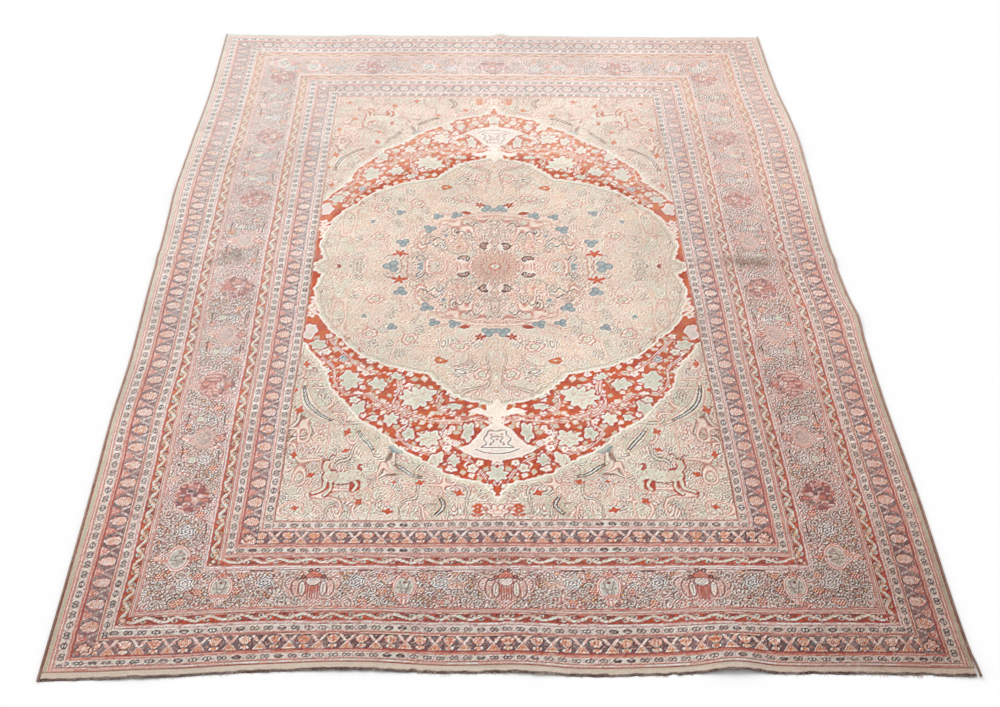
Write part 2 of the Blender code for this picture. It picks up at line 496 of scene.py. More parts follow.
class Chart:
    """A rectangle of knots, one colour each, that motifs are drawn on."""

    def __init__(self, low: Point, high: Point, ground: Dye) -> None:
        """Make a chart of one dye.

        Args:
            low: lowest corner.
            high: highest corner.
            ground: the dye of every knot.
        """
        self.low = low
        self.rows = round((high[1] - low[1]) / KNOT) + 1
        self.columns = round((high[0] - low[0]) / KNOT) + 1
        self.rgb = np.tile(ground.rgb, (self.rows, self.columns, 1))
        self.x = (low[0] + KNOT * np.arange(self.columns, dtype=np.float32))[None, :]
        self.y = (low[1] + KNOT * np.arange(self.rows, dtype=np.float32))[:, None]

    def window(self, low: Point, high: Point) -> tuple[slice, slice]:
        """The rows and columns of the knots between two corners.

        Args:
            low: the corner with the smaller x and y.
            high: the other corner.

        Returns:
            Slices for the chart's rows and columns.
        """
        start = [int((low[k] - self.low[k]) / KNOT) for k in (1, 0)]
        stop = [int((high[k] - self.low[k]) / KNOT) + 2 for k in (1, 0)]
        return tuple(
            slice(min(max(a, 0), n), max(min(b, n), 0))
            for a, b, n in zip(start, stop, (self.rows, self.columns))
        )

    def lay(self, at: tuple[slice, slice], cover: Array, dye: Dye | Array) -> None:
        """Lay a dye over some knots where the cover says."""
        self.rgb[at] = over(self.rgb[at], cover, dye)

    def around(self, x: float, y: float, reach: float) -> tuple[tuple[slice, slice], Array, Array]:
        """The knots near a point, and their places from it."""
        at = self.window((x - reach, y - reach), (x + reach, y + reach))
        return at, self.x[:, at[1]] - x, self.y[at[0]] - y

    def trail(self, points: Array, width: float, dye: Dye, strength: float = 1.0) -> None:
        """Draw lines or dots.

        Every point covers the knots within half the width of it, and where
        points overlap the greater cover counts once.

        Args:
            points: any array whose last axis is x and y.
            width: width of the line, or of a dot.
            dye: the dye.
            strength: how much of the dye shows.
        """
        spots = np.asarray(points, float).reshape(-1, 2)
        if not len(spots):
            return
        u = (spots[:, 0] - self.low[0]) / KNOT
        v = (spots[:, 1] - self.low[1]) / KNOT
        half = width / 2 / KNOT
        near = int(math.ceil(half + 0.5))
        i, j = np.rint(u).astype(int), np.rint(v).astype(int)
        low_i, low_j = max(i.min() - near, 0), max(j.min() - near, 0)
        high_i = min(i.max() + near + 1, self.columns)
        high_j = min(j.max() + near + 1, self.rows)
        if high_i <= low_i or high_j <= low_j:
            return
        cover = np.zeros((high_j - low_j, high_i - low_i), np.float32)
        for dj in range(-near, near + 1):
            for di in range(-near, near + 1):
                share = unit(half + 0.5 - np.hypot(i + di - u, j + dj - v))
                ii, jj = i + di - low_i, j + dj - low_j
                keep = (share > 0) & (ii >= 0) & (jj >= 0)
                keep &= (ii < cover.shape[1]) & (jj < cover.shape[0])
                np.maximum.at(cover, (jj[keep], ii[keep]), share[keep].astype(np.float32))
        self.lay(np.s_[low_j:high_j, low_i:high_i], cover * strength, dye)

    def bloom(
        self,
        x: float,
        y: float,
        size: float,
        dyes: tuple[Dye, Dye, Dye],
        petals: int = 8,
        depth: float = 0.25,
        tall: float = 1.0,
        turn: float = 0.0,
    ) -> None:
        """Draw a flower seen from above.

        Its edge is at size times (1 - depth (1 - cos(petals x angle)) / 2), made
        uneven by two slower waves and soft noise, with a rim, a fill, and a heart or a squiggle.

        Args:
            x: its middle.
            y: its middle.
            size: half its width.
            dyes: rim, fill and heart.
            petals: how many.
            depth: how deep the notches are, as a share of the size.
            tall: its length in y over its width.
            turn: the angle it is turned by.
        """
        at, u, v = self.around(x, y, size * max(1, tall) + 0.004)
        v = v / tall
        r, a = np.hypot(u, v), np.arctan2(v, u) - turn
        own = 40 * x + 70 * y
        lot = int(1e4 * (x + y))
        wild = 0.13 * np.cos(2 * a + own) + 0.09 * np.cos(3 * a - own) + 0.3 * cloud(u, v, 0.014, lot % 991)
        edge = size * (1 - depth * (0.5 - 0.5 * np.cos(petals * a + own)) + 0.6 * wild)
        rim = min(0.0035, 0.2 * size)
        self.lay(at, soft(edge + 0.0022 - r) * 0.55, BRICK)
        self.lay(at, soft(edge - r), dyes[0])
        self.lay(at, soft(edge - rim - r), dyes[1])
        if size > 0.024:
            squiggle = np.abs(cloud(u, v, 0.012, lot % 997)) * 0.01
            self.lay(at, 0.6 * soft(0.0014 - squiggle) * (r < 0.72 * edge), dyes[2])
        else:
            self.lay(at, soft(0.24 * size - r) * 0.8, dyes[2])

    def leaf(
        self,
        x: float,
        y: float,
        size: tuple[float, float],
        turn: float,
        dyes: tuple[Dye, Dye],
        notches: int = 0,
    ) -> None:
        """Draw a pointed leaf.

        Its half width is (1 - (2 p / length)^2) times half the width at a place
        p along it, less a saw tooth where it is notched, and it has a thin vein.

        Args:
            x: its middle.
            y: its middle.
            size: length and width.
            turn: its angle from the x axis.
            dyes: fill and vein.
            notches: how many teeth each edge has.
        """
        length, width = size
        at, u, v = self.around(x, y, length / 2 + 0.004)
        p = u * math.cos(turn) + v * math.sin(turn)
        q = v * math.cos(turn) - u * math.sin(turn)
        half = width / 2 * unit(1 - (2 * p / length) ** 2)
        if notches:
            half = half * (0.72 + 0.28 * np.cos(2 * math.pi * notches * p / length))
        self.lay(at, soft(half - np.abs(q)) * (half > 0), dyes[0])
        self.lay(at, 0.6 * soft(0.0011 - np.abs(q)) * (half > 0.002), dyes[1])

    def wind(self, size: float, seed: int, dark: Dye, strength: Array | float) -> None:
        """Draw long wandering pale stems with dark edges, along the places where soft noise is nought.

        Args:
            size: of the noise's waves.
            seed: chooses the noise.
            dark: dye of the edges.
            strength: how much of the dyes shows.
        """
        off = np.abs(cloud(self.x, self.y * 0.85, size, seed)) * size * 0.75
        self.rgb = over(self.rgb, soft(0.0052 - off) * strength, dark)
        self.rgb = over(self.rgb, soft(0.0024 - off) * (0.4 + 0.6 * np.asarray(strength)), IVORY)

    def posies(self, spots: Array, size: float, petal: Dye, heart: Dye, strength: float = 1.0) -> None:
        """Draw many small five-petalled flowers of one size, all at once.

        Args:
            spots: their middles.
            size: half their width.
            petal: dye of the petals.
            heart: dye of the middles.
            strength: how much of the dyes shows.
        """
        angle = 2 * math.pi * np.arange(5) / 5 + 0.3
        ring = round_about(angle) * size * 0.3
        self.trail(spots[:, None, :] + ring, size * 0.42, petal, strength)
        self.trail(spots, size * 0.3, heart, strength)

    def read(self, x: Array, y: Array) -> Array:
        """The colour of the nearest knot to each place.

        Args:
            x: places across the rug.
            y: places along it.

        Returns:
            The dyes, still unworn.
        """
        i = np.clip(np.rint((x - self.low[0]) / KNOT).astype(int), 0, self.columns - 1)
        j = np.clip(np.rint((y - self.low[1]) / KNOT).astype(int), 0, self.rows - 1)
        return self.rgb[j, i]


# The field.


class Ground(Chart):
    """One ground of the field's quarter.

    u runs outward across the rug from its middle, and v outward along it.
    """

    dye = CREAM
    margin = 0.02

    def __init__(self, half_width: float, half_length: float) -> None:
        """Make the quarter in one dye, and draw on it.

        Args:
            half_width: half the field's width.
            half_length: half its length.
        """
        super().__init__((-self.margin, -self.margin), (half_width + self.margin, half_length), self.dye)
        self.draw()

    def draw(self) -> None:
        """Draw what this ground shows."""

    def inside(self, outline: Array) -> Array:
        """Cover of what is nearer the axis than an outline that falls in u as v grows."""
        edge = np.interp(self.y[:, 0], outline[:, 1], outline[:, 0], right=-1.0)
        return soft((edge[:, None] - self.x) * 0.8)


class InnerGround(Ground):
    """The pale inner field with its fine drawing, lattice and ring of trefoils."""

    def draw(self) -> None:
        """Engrave the wool, then draw the lattice and the trefoils."""
        disc = unit((0.36 - np.hypot(self.x, self.y)) / 0.05)
        axis = unit((0.17 - self.x) / 0.04) * unit((self.y - 0.5) / 0.06)
        near = unit(disc + 0.8 * axis)
        patch = 0.5 + 0.5 * cloud(self.x, self.y, 0.1, 11)
        self.rgb = over(self.rgb, 0.3 + 0.55 * patch * (1 - 0.6 * disc), LEAF)
        tints = (ROSE, BROWN, SAGE, PINK, PEACH)
        self.rgb = engraved(self.rgb, self.x, self.y, (0.036, 12), tints, 0.62 + 0.14 * near)
        self.rgb = engraved(self.rgb, self.x, self.y, (0.029, 15), (ROSE, BROWN), 0.12 + 0.3 * disc)
        self.wind(0.085, 13, BROWN, 0.1 + 0.45 * near)
        self.wind(0.06, 14, ROSE, 0.25 + 0.35 * disc)
        self.draw_lattice()
        self.draw_trefoils()

    def draw_lattice(self) -> None:
        """The centre rosette, the rosy rings round it, the dark hooks and the broken dark lines."""
        at = np.linspace(0, math.pi / 2, 500)
        arc = round_about(at)
        for radius, dye in ((0.342, ROSE), (0.35, IVORY), (0.358, ROSE), (0.101, ROSE)):
            self.trail(ragged(radius * arc, 0.01, 16), 0.0036, dye, 0.6)
        at, u, v = self.around(0, 0, 0.104)
        r, a = np.hypot(u, v), np.arctan2(v, u)
        for low, high, petals in ((0.052, 0.09, 22), (0.022, 0.05, 14)):
            middle, half = (low + high) / 2, (high - low) / 2
            wide = 0.9 * math.pi * middle / petals
            swing = (np.abs((a * petals / (2 * math.pi)) % 1 - 0.5)) * 2 * math.pi * r / petals
            oval = (1 - np.hypot((r - middle) / half, (0.5 * 2 * math.pi * r / petals - swing) / wide)) * wide
            self.lay(at, soft(oval + 0.001) * 0.6, ROSE)
            self.lay(at, soft(oval - 0.0014) * 0.7, SAND)
        self.bloom(0, 0, 0.02, (ROSE, LEAF, ROSE), 8, 0.3)
        for u, v, turn in ((0.036, 0.133, 0.9), (0.122, 0.043, 2.6)):
            self.draw_hook(u, v, turn)
        for points in (
            ((0.19, 0.128), (0.212, 0.156), (0.228, 0.132), (0.25, 0.152), (0.282, 0.136)),
            ((0.2, 0.165), (0.222, 0.19), (0.242, 0.168)),
            ((0.266, 0.036), (0.282, 0.068), (0.3, 0.056), (0.286, 0.032)),
            ((0.048, 0.268), (0.07, 0.292), (0.088, 0.266), (0.11, 0.29)),
            ((0.114, 0.208), (0.128, 0.234), (0.152, 0.216), (0.142, 0.24)),
        ):
            self.trail(smooth_line(points), 0.009, IVORY, 0.8)
            self.trail(smooth_line(points), 0.0048, INK, 0.95)

    def draw_hook(self, u: float, v: float, turn: float) -> None:
        """One of the dark hooked leaves in pairs round the rosette.

        Args:
            u: its middle.
            v: its middle.
            turn: the angle it is turned by.
        """
        t = np.linspace(-2.2, 0.9, 60)
        c, s = math.cos(turn), math.sin(turn)
        self.trail((u, v), 0.052, CREAM, 0.9)
        rings = ((0.017, 0.018, INK), (0.0165, 0.0052, PINK), (0.0068, 0.006, IVORY), (0.001, 0.011, MAROON))
        for radius, width, dye in rings:
            arc = radius * np.stack([np.cos(t), 0.9 * np.sin(t)], axis=-1)
            arc = arc @ np.array([[c, s], [-s, c]])
            self.trail(arc + (u, v), width, dye)
        self.trail((u + 0.02 * s, v - 0.02 * c), 0.008, INK, 0.8)

    def draw_trefoils(self) -> None:
        """The ring of muted blue trefoils with small orange leaves between them."""
        for u, v, size in (
            (0.394, 0.0, 0.03), (0.357, 0.154, 0.024), (0.255, 0.247, 0.024), (0.225, 0.335, 0.02),
            (0.151, 0.343, 0.021), (0.024, 0.388, 0.025), (0.378, 0.362, 0.018), (0.19, 0.203, 0.01),
            (0.285, 0.01, 0.012), (0.485, 0.3, 0.01),
        ):
            out, reach = math.atan2(v, u), 0.62 * size
            turns = [out + a for a in (0, 2.0, -2.0)]
            lobes = np.array([(u + reach * math.cos(a), v + reach * math.sin(a)) for a in turns])
            self.trail(lobes, 1.3 * size + 0.005, IVORY, 0.8)
            self.trail(lobes, 1.3 * size, SLATE, 0.6)
            self.trail(lobes + (0.0012, 0.0014), 1.05 * size, BLUE)
            self.trail((u, v), 0.9 * size, BLUE)
            self.trail(lobes + (0.0015, 0.002), 0.7 * size, MIST, 0.35)
        for u, v, size, turn, dye in (
            (0.366, 0.083, 0.029, 1.2, MADDER), (0.057, 0.418, 0.02, 0.9, BRICK),
            (0.596, 0.004, 0.009, 0.5, MAROON), (0.545, 0.432, 0.02, 1.3, BRICK),
            (0.492, 0.5, 0.02, 0.2, BRICK),
        ):
            self.bloom(u, v, size, (dye, dye, PEACH), 5, 0.62, turn=turn)
        self.leaf(0.112, 0.36, (0.046, 0.022), 0.15, (BRICK, PEACH))
        self.bloom(0.198, 0.546, 0.024, (ORANGE, ORANGE, CREAM), 3, 0.2, 0.7)
        self.trail(np.array([(0.19, 0.546), (0.2, 0.546), (0.21, 0.546)]), 0.0036, CREAM, 0.9)
        for u, v in ((0.31, 0.43), (0.13, 0.47), (0.45, 0.2), (0.05, 0.62), (0.46, 0.4)):
            self.bloom(u, v, 0.03, (PINK, CREAM, PINK), 6, 0.2)
            self.bloom(u, v, 0.016, (SAGE, LEAF, PEACH), 5, 0.2)


class CornerGround(Ground):
    """The corner field: sage cream with fine stems, curved leaves, small trees and a deer."""

    def draw(self) -> None:
        """Engrave the wool, then draw the leaves, the deer and the buds."""
        patch = 0.5 + 0.5 * cloud(self.x, self.y, 0.09, 21)
        self.rgb = over(self.rgb, 0.25 + 0.75 * patch, LEAF)
        self.rgb = over(self.rgb, 0.55 * (cloud(self.x, self.y, 0.035, 22) > 0.35), MINT)
        tints = (BROWN, ROSE, SAGE, BRICK, TAN)
        self.rgb = engraved(self.rgb, self.x, self.y, (0.036, 23), tints, 0.72)
        self.rgb = engraved(self.rgb, self.x, self.y, (0.027, 27), (ROSE, BROWN), 0.3)
        self.wind(0.075, 24, BROWN, 0.6)
        self.wind(0.055, 25, ROSE, 0.6)
        self.draw_feathers()
        self.draw_deer()
        self.draw_accents()

    def draw_feathers(self) -> None:
        """The long curved leaves of the corner, with a dark double rib."""
        for rib, wide in (
            (((0.664, 0.64), (0.66, 0.7), (0.64, 0.77), (0.585, 0.83), (0.52, 0.87)), 0.042),
            (((0.47, 0.885), (0.45, 0.925), (0.42, 0.965), (0.4, 1.005)), 0.034),
            (((0.345, 1.045), (0.31, 1.07), (0.275, 1.1), (0.225, 1.115)), 0.03),
            (((0.19, 1.19), (0.172, 1.235), (0.205, 1.285)), 0.024),
        ):
            line = smooth_line(rib)
            t = np.linspace(0, 1, len(line))
            side = np.gradient(line, axis=0)
            side = np.stack([-side[:, 1], side[:, 0]], axis=-1) / np.hypot(*side.T)[:, None]
            bulge = wide * np.sin(math.pi * t)[:, None] ** 0.8
            fill = line + side * np.linspace(-1, 1, 50)[:, None, None] * bulge
            self.trail(fill, 0.003, LEAF, 0.55)
            for k in (-1.0, -0.75, -0.5, 0.5, 0.75, 1.0):
                self.trail(line + side * k * bulge, 0.0028, ROSE if abs(k) < 0.7 else SAGE, 0.7)
            middle = slice(len(line) // 8, -len(line) // 8)
            for k in (-0.0054, 0.0054):
                self.trail((line + side * k * np.sin(math.pi * t)[:, None] ** 0.5)[middle], 0.0046, INK, 1.0)

    def draw_deer(self) -> None:
        """A plain small deer at a bound: round limbs in cream, edged red."""
        limbs = (
            (((0.54, 1.106), (0.5, 1.11), (0.462, 1.098)), 0.05),  # body
            (((0.548, 1.092), (0.56, 1.064), (0.556, 1.044)), 0.022),  # neck and head
            (((0.446, 1.094), (0.432, 1.078), (0.44, 1.062)), 0.012),  # tail
            (((0.552, 1.12), (0.56, 1.16), (0.59, 1.176)), 0.014),  # fore legs
            (((0.536, 1.124), (0.536, 1.164), (0.552, 1.186)), 0.012),
            (((0.452, 1.112), (0.428, 1.128), (0.432, 1.158)), 0.016),  # hind legs
            (((0.466, 1.122), (0.452, 1.146), (0.462, 1.168)), 0.012),
        )
        for points, width in limbs:
            self.trail(ragged(smooth_line(points)[:, ::-1], 0.004, 28)[:, ::-1], width + 0.007, BRICK, 0.85)
        for points, width in limbs:
            self.trail(smooth_line(points), width - 0.003, LEAF, 0.85)
        for points in (
            ((0.53, 1.138), (0.5, 1.141), (0.474, 1.132)),
            ((0.56, 1.036), (0.572, 1.018), (0.588, 1.014)),
            ((0.552, 1.036), (0.544, 1.016), (0.528, 1.01)),
        ):
            self.trail(smooth_line(points), 0.0046, MAROON, 0.85)
        spots = scatter(np.random.default_rng(29), (0.46, 1.09), (0.54, 1.12), 0.021)
        self.trail(spots, 0.0056, ROSE, 0.6)

    def draw_accents(self) -> None:
        """The red leaves, bud and little trees between the stems."""
        for u, v, size, turn in (
            (0.5, 0.905, 0.04, 1.2), (0.498, 0.99, 0.03, 0.4), (0.668, 0.8, 0.046, 1.3),
            (0.668, 1.012, 0.036, 1.5), (0.668, 0.565, 0.036, 1.7), (0.333, 1.132, 0.02, 0.0),
            (0.248, 1.134, 0.036, 0.3), (0.125, 1.182, 0.04, 2.7), (0.345, 1.255, 0.04, 2.9),
            (0.606, 1.1, 0.034, 0.5), (0.44, 1.215, 0.034, 1.0), (0.64, 1.24, 0.03, 0.2),
            (0.69, 0.7, 0.026, 1.4),
        ):
            self.leaf(u, v, (size, 0.72 * size), turn, (MADDER, PEACH), 2)
        self.leaf(0.334, 0.986, (0.062, 0.04), 2.5, (BLUE, NAVY), 3)
        self.bloom(0, 1.262, 0.034, (ROSE, CREAM, ORANGE), 6, 0.3)
        for k in range(4):
            self.leaf(0.07 - 0.006 * k, 1.236 + 0.013 * k, (0.036 - 0.004 * k, 0.01), 0.5, (MADDER, PEACH))
            self.leaf(0.058 + 0.006 * k, 1.236 + 0.013 * k, (0.036 - 0.004 * k, 0.01), 2.6, (MADDER, PEACH))

    def draw_finial(self) -> None:
        """The pale pendant at the medallion's end: a cross, a neck and a bell.

        The bell's half width runs through a short table of its length."""
        shape = (
            (0.74, 0.0), (0.775, 0.02), (0.79, 0.075), (0.806, 0.1), (0.818, 0.06), (0.832, 0.016),
            (0.868, 0.016), (0.89, 0.048), (0.93, 0.07), (0.962, 0.092), (0.98, 0.126), (0.998, 0.112),
            (1.022, 0.074), (1.044, 0.0),
        )
        half = np.interp(self.y, *np.array(shape).T, left=-0.01, right=-0.01)
        inside = half - self.x
        part = self.window((-0.02, 0.735), (0.14, 1.05))
        self.lay(part, soft(inside[part]), IVORY)
        self.lay(part, 0.3 * soft(inside[part] - 0.01) * (self.y[part[0]] > 0.885), PALE)
        self.bloom(0.134, 0.958, 0.013, (IVORY, PALE, IVORY), 5, 0.1)
        self.leaf(0.044, 0.786, (0.034, 0.017), 2.1, (ORANGE, MADDER))
        for points in (
            (
                *((0, 0.9), (0.03, 0.9), (0.032, 0.915), (0.044, 0.935)),
                *((0.036, 0.962), (0.052, 0.975), (0, 0.978)),
            ),
            ((0.0, 0.925), (0.02, 0.932), (0.01, 0.95), (0.024, 0.96)),
            ((0.07, 0.985), (0.04, 1.002), (0.0, 1.008)),
        ):
            self.trail(smooth_line(points), 0.0034, BROWN, 0.85)
        self.posies(np.array([(0.0, 0.94), (0.018, 0.918), (0.022, 0.965)]), 0.012, PINK, BROWN, 0.8)


class BandGround(Ground):
    """The red band round the medallion, close with pale leaves and flowers."""

    dye = MADDER

    def draw(self) -> None:
        """Fill the red wool with leaves, stems and flowers."""
        self.rgb = over(self.rgb, 0.3 * (0.5 + 0.5 * cloud(self.x, self.y, 0.16, 31)), ORANGE)
        self.rgb = over(self.rgb, 0.6 * unit(2 * cloud(self.x, self.y, 0.028, 32)), BRICK)
        rng = np.random.default_rng(33)
        spots = scatter(rng, (0.0, 0.42), (0.7, 1.25), 0.038)
        sizes = rng.uniform(0.75, 1.2, len(spots))
        for k, ((u, v), turn, size) in enumerate(zip(spots, rng.uniform(0, math.pi, len(spots)), sizes)):
            if v < 0.47 and u > 0.655:
                continue
            if k % 4:
                for scale, dyes in ((0.9, (PEACH, PEACH)), (0.68, ((CREAM, SAND)[k % 2], PINK))):
                    self.leaf(u, v, (0.04 * size * scale, 0.026 * size * scale), turn, dyes, 1)
            else:
                self.bloom(u, v, 0.015 * size, (IVORY, CREAM, PINK), 5, 0.3, turn=turn)
        self.draw_vines()
        pale = (CREAM, LEAF, PINK)
        green = (CREAM, MIST, SAGE)
        for u, v, size, tall, petals, dyes in (
            (0.507, 0.65, 0.044, 1.1, 7, green), (0.408, 0.67, 0.03, 1.25, 6, green),
            (0.272, 0.735, 0.064, 0.95, 9, pale), (0.637, 0.462, 0.031, 1.0, 6, green),
            (0.605, 0.5, 0.02, 0.8, 5, pale), (0.54, 0.54, 0.02, 1.0, 6, (IVORY, BLUE, CREAM)),
            (0.595, 0.602, 0.019, 0.8, 5, pale), (0.345, 0.632, 0.026, 0.8, 6, green),
            (0.47, 0.79, 0.028, 1.5, 5, green), (0.485, 0.748, 0.02, 0.9, 5, pale),
            (0.356, 0.842, 0.028, 1.1, 6, pale), (0.418, 0.838, 0.018, 1.1, 5, green),
            (0.294, 0.912, 0.021, 1.8, 5, green), (0.23, 0.935, 0.043, 1.0, 8, pale),
            (0.096, 0.905, 0.025, 1.9, 5, green), (0.2, 1.032, 0.028, 1.3, 5, pale),
            (0.142, 1.036, 0.025, 1.0, 6, green), (0.082, 1.074, 0.022, 1.0, 5, pale),
            (0.0, 1.102, 0.042, 0.95, 7, green), (0.03, 1.152, 0.018, 0.8, 5, pale),
            (0.145, 0.782, 0.03, 0.6, 6, green), (0.14, 0.725, 0.02, 1.0, 5, pale),
        ):
            self.bloom(u, v, size + 0.005, (BRICK, MADDER, MADDER), petals, 0.26, tall)
            self.bloom(u, v, size, dyes, petals, 0.3, tall)
        spots = ((0.168, 0.98), (0.212, 0.985), (0.268, 0.982), (0.058, 1.05), (0.165, 0.905), (0.165, 0.94))
        self.posies(np.array(spots), 0.026, IVORY, PEACH)
        for u, v, size in ((0.668, 0.205, 0.026), (0.672, 0.25, 0.03), (0.676, 0.29, 0.022)):
            self.bloom(u, v, size, (IVORY, CREAM, ORANGE), 5, 0.35, 0.9)

    def draw_vines(self) -> None:
        """The bundles of thin pale stems that sweep through the red band."""
        for points in (
            ((0.035, 0.838), (0.11, 0.845), (0.2, 0.846), (0.3, 0.812), (0.38, 0.775), (0.45, 0.72)),
            ((0.035, 0.846), (0.12, 0.856), (0.21, 0.855), (0.31, 0.825), (0.395, 0.79), (0.47, 0.76)),
            ((0.05, 0.832), (0.13, 0.826), (0.19, 0.8), (0.205, 0.76), (0.19, 0.715)),
            ((0.335, 0.64), (0.325, 0.7), (0.338, 0.765), (0.3, 0.805), (0.23, 0.838)),
            ((0.345, 0.64), (0.336, 0.7), (0.352, 0.765), (0.315, 0.818), (0.235, 0.85)),
            ((0.4, 0.62), (0.455, 0.6), (0.5, 0.56), (0.55, 0.5), (0.6, 0.43)),
            ((0.445, 0.725), (0.52, 0.715), (0.56, 0.66), (0.57, 0.59), (0.62, 0.53)),
            ((0.3, 0.87), (0.33, 0.9), (0.3, 0.96), (0.24, 1.0), (0.17, 1.01)),
            ((0.17, 0.87), (0.19, 0.93), (0.16, 1.0), (0.09, 1.04), (0.03, 1.13)),
        ):
            line = smooth_line(points)
            self.trail(line, 0.0105, BRICK, 0.85)
            for away in (-0.0032, 0.0032):
                self.trail(line + (away * 0.5, away), 0.003, IVORY, 0.95)
            knots = line[:: max(4, int(0.026 / KNOT))]
            away = 0.01 * np.where(np.arange(len(knots)) % 2, 1, -1)[:, None]
            self.trail(knots + away, 0.0095, CREAM, 0.9)


@dataclass(frozen=True)
class Field:
    """One quarter of the field, mirrored to make the whole.

    Columns of the outlines: u, v and how far the arc to the next row bulges out.
    """

    half_width: float = 0.72
    half_length: float = 1.33
    cartouche: tuple = (
        (0.79, 0.29, 0.0), (0.598, 0.6, 0.016), (0.512, 0.768, 0.014), (0.388, 0.902, 0.012),
        (0.228, 1.046, 0.014), (0.078, 1.128, -0.014), (0.0, 1.216, 0.0),
    )
    medallion: tuple = (
        (0.69, -0.03, 0.012), (0.69, 0.016, 0.006), (0.652, 0.044, 0.024), (0.654, 0.252, 0.02),
        (0.556, 0.424, 0.016), (0.424, 0.548, 0.014), (0.24, 0.612, 0.014), (0.092, 0.756, -0.012),
        (0.0, 0.8, 0.0),
    )

    def chart(self) -> Chart:
        """Put the three grounds together, with the outlines between them.

        Returns:
            The chart of one quarter of the field.
        """
        size = (self.half_width, self.half_length)
        whole = CornerGround(*size)
        outer = ragged(bulged_line(self.cartouche), 0.007, 35)
        inner = ragged(bulged_line(self.medallion), 0.006, 37)
        everything = np.s_[:, :]
        whole.trail(outer, 0.034, LEAF, 0.6)
        whole.lay(everything, whole.inside(outer), BandGround(*size).rgb)
        whole.trail(outer, 0.0075, IVORY, 0.9)
        core = InnerGround(*size)
        core.trail(inner, 0.046, LEAF, 0.5)
        core.trail(inner - (0.017, 0.01), 0.0034, LILAC, 0.55)
        whole.lay(everything, whole.inside(inner), core.rgb)
        whole.trail(inner, 0.008, IVORY, 0.9)
        whole.draw_finial()
        whole.bloom(0.672, 0.385, 0.03, (IVORY, PALE, MINT), 5, 0.2, 1.4)
        return whole


# The borders.


class Kind(Enum):
    """What a band of the border shows."""

    PLAIN = "plain"
    LINES = "lines"
    FIGURES = "figures"
    TULIPS = "tulips"
    MEANDER = "meander"
    MAIN = "main"


@dataclass(frozen=True)
class Band:
    """One band of the border, by how far it is from the rug's edge at the sides and at the ends."""

    kind: Kind
    side: tuple[float, float]
    end: tuple[float, float]
    stripes: tuple[tuple[float, float, Dye], ...]


RED_PAIR = ((0.0, 1.0, PINK), (0.1, 0.24, BRICK), (0.4, 0.6, PALE), (0.74, 0.9, MAROON))
RED_THICK = ((0.0, 1.0, PINK), (0.14, 0.42, BRICK), (0.72, 0.88, MAROON))
PINK_PAIR = ((0.0, 1.0, PALE), (0.06, 0.24, MAROON), (0.38, 0.52, ROSE), (0.76, 0.92, BRICK))
MANY = ((0.0, 1.0, PINK), (0.04, 0.18, MAROON), (0.3, 0.42, PALE), (0.5, 0.62, SLATE), (0.82, 0.96, BRICK))

SELVEDGE = ((0.0, 1.0, TAN), (0.5, 0.96, SAGE), (0.2, 0.44, BRICK))
MAROON_LINE = ((0.0, 1.0, PINK), (0.25, 0.7, MAROON))
BROWN_LINE = ((0.0, 1.0, PINK), (0.3, 0.9, BROWN))

# Each band's kind, how far its inner edge is from the rug's edge at the sides and
# at the ends, in millimetres, and its stripes.
BAND_TABLE = (
    (Kind.PLAIN, 25, 33, SELVEDGE),
    (Kind.LINES, 37, 47, RED_PAIR),
    (Kind.FIGURES, 66, 70, ()),
    (Kind.LINES, 76, 81, RED_THICK),
    (Kind.TULIPS, 136, 139, ()),
    (Kind.LINES, 142, 148, MAROON_LINE),
    (Kind.FIGURES, 167, 174, ()),
    (Kind.LINES, 177, 189, PINK_PAIR),
    (Kind.MEANDER, 210, 222, ()),
    (Kind.LINES, 225, 243, MANY),
    (Kind.MAIN, 383, 386, ()),
    (Kind.LINES, 395, 412, PINK_PAIR),
    (Kind.MEANDER, 427, 444, ()),
    (Kind.LINES, 441, 459, MANY),
    (Kind.FIGURES, 468, 484, ()),
    (Kind.LINES, 477, 498, RED_THICK),
    (Kind.TULIPS, 530, 552, ()),
    (Kind.LINES, 540, 563, PINK_PAIR),
    (Kind.FIGURES, 569, 590, ()),
    (Kind.LINES, 574, 596, BROWN_LINE),
)


def make_bands() -> tuple[Band, ...]:
    """The bands of the table, each starting where the one outside it ends.

    Returns:
        The bands from the rug's edge inwards.
    """
    bands, side, end = [], 0.0, 0.0
    for kind, inner_side, inner_end, stripes in BAND_TABLE:
        bands.append(Band(kind, (side, inner_side / 1000), (end, inner_end / 1000), stripes))
        side, end = bands[-1].side[1], bands[-1].end[1]
    return tuple(bands)


BANDS = make_bands()


def repeat(along: Array, pitch: float) -> tuple[Array, Array]:
    """Place within a repeat, from -pitch/2 to pitch/2, and the repeat's number."""
    number = np.floor(along / pitch + 0.5)
    return along - number * pitch, number


def chance(number: Array, seed: float) -> Array:
    """A number from 0 to 1 that differs from one repeat to the next."""
    return np.abs(np.sin(number * 12.9898 + seed) * 43758.5453) % 1.0


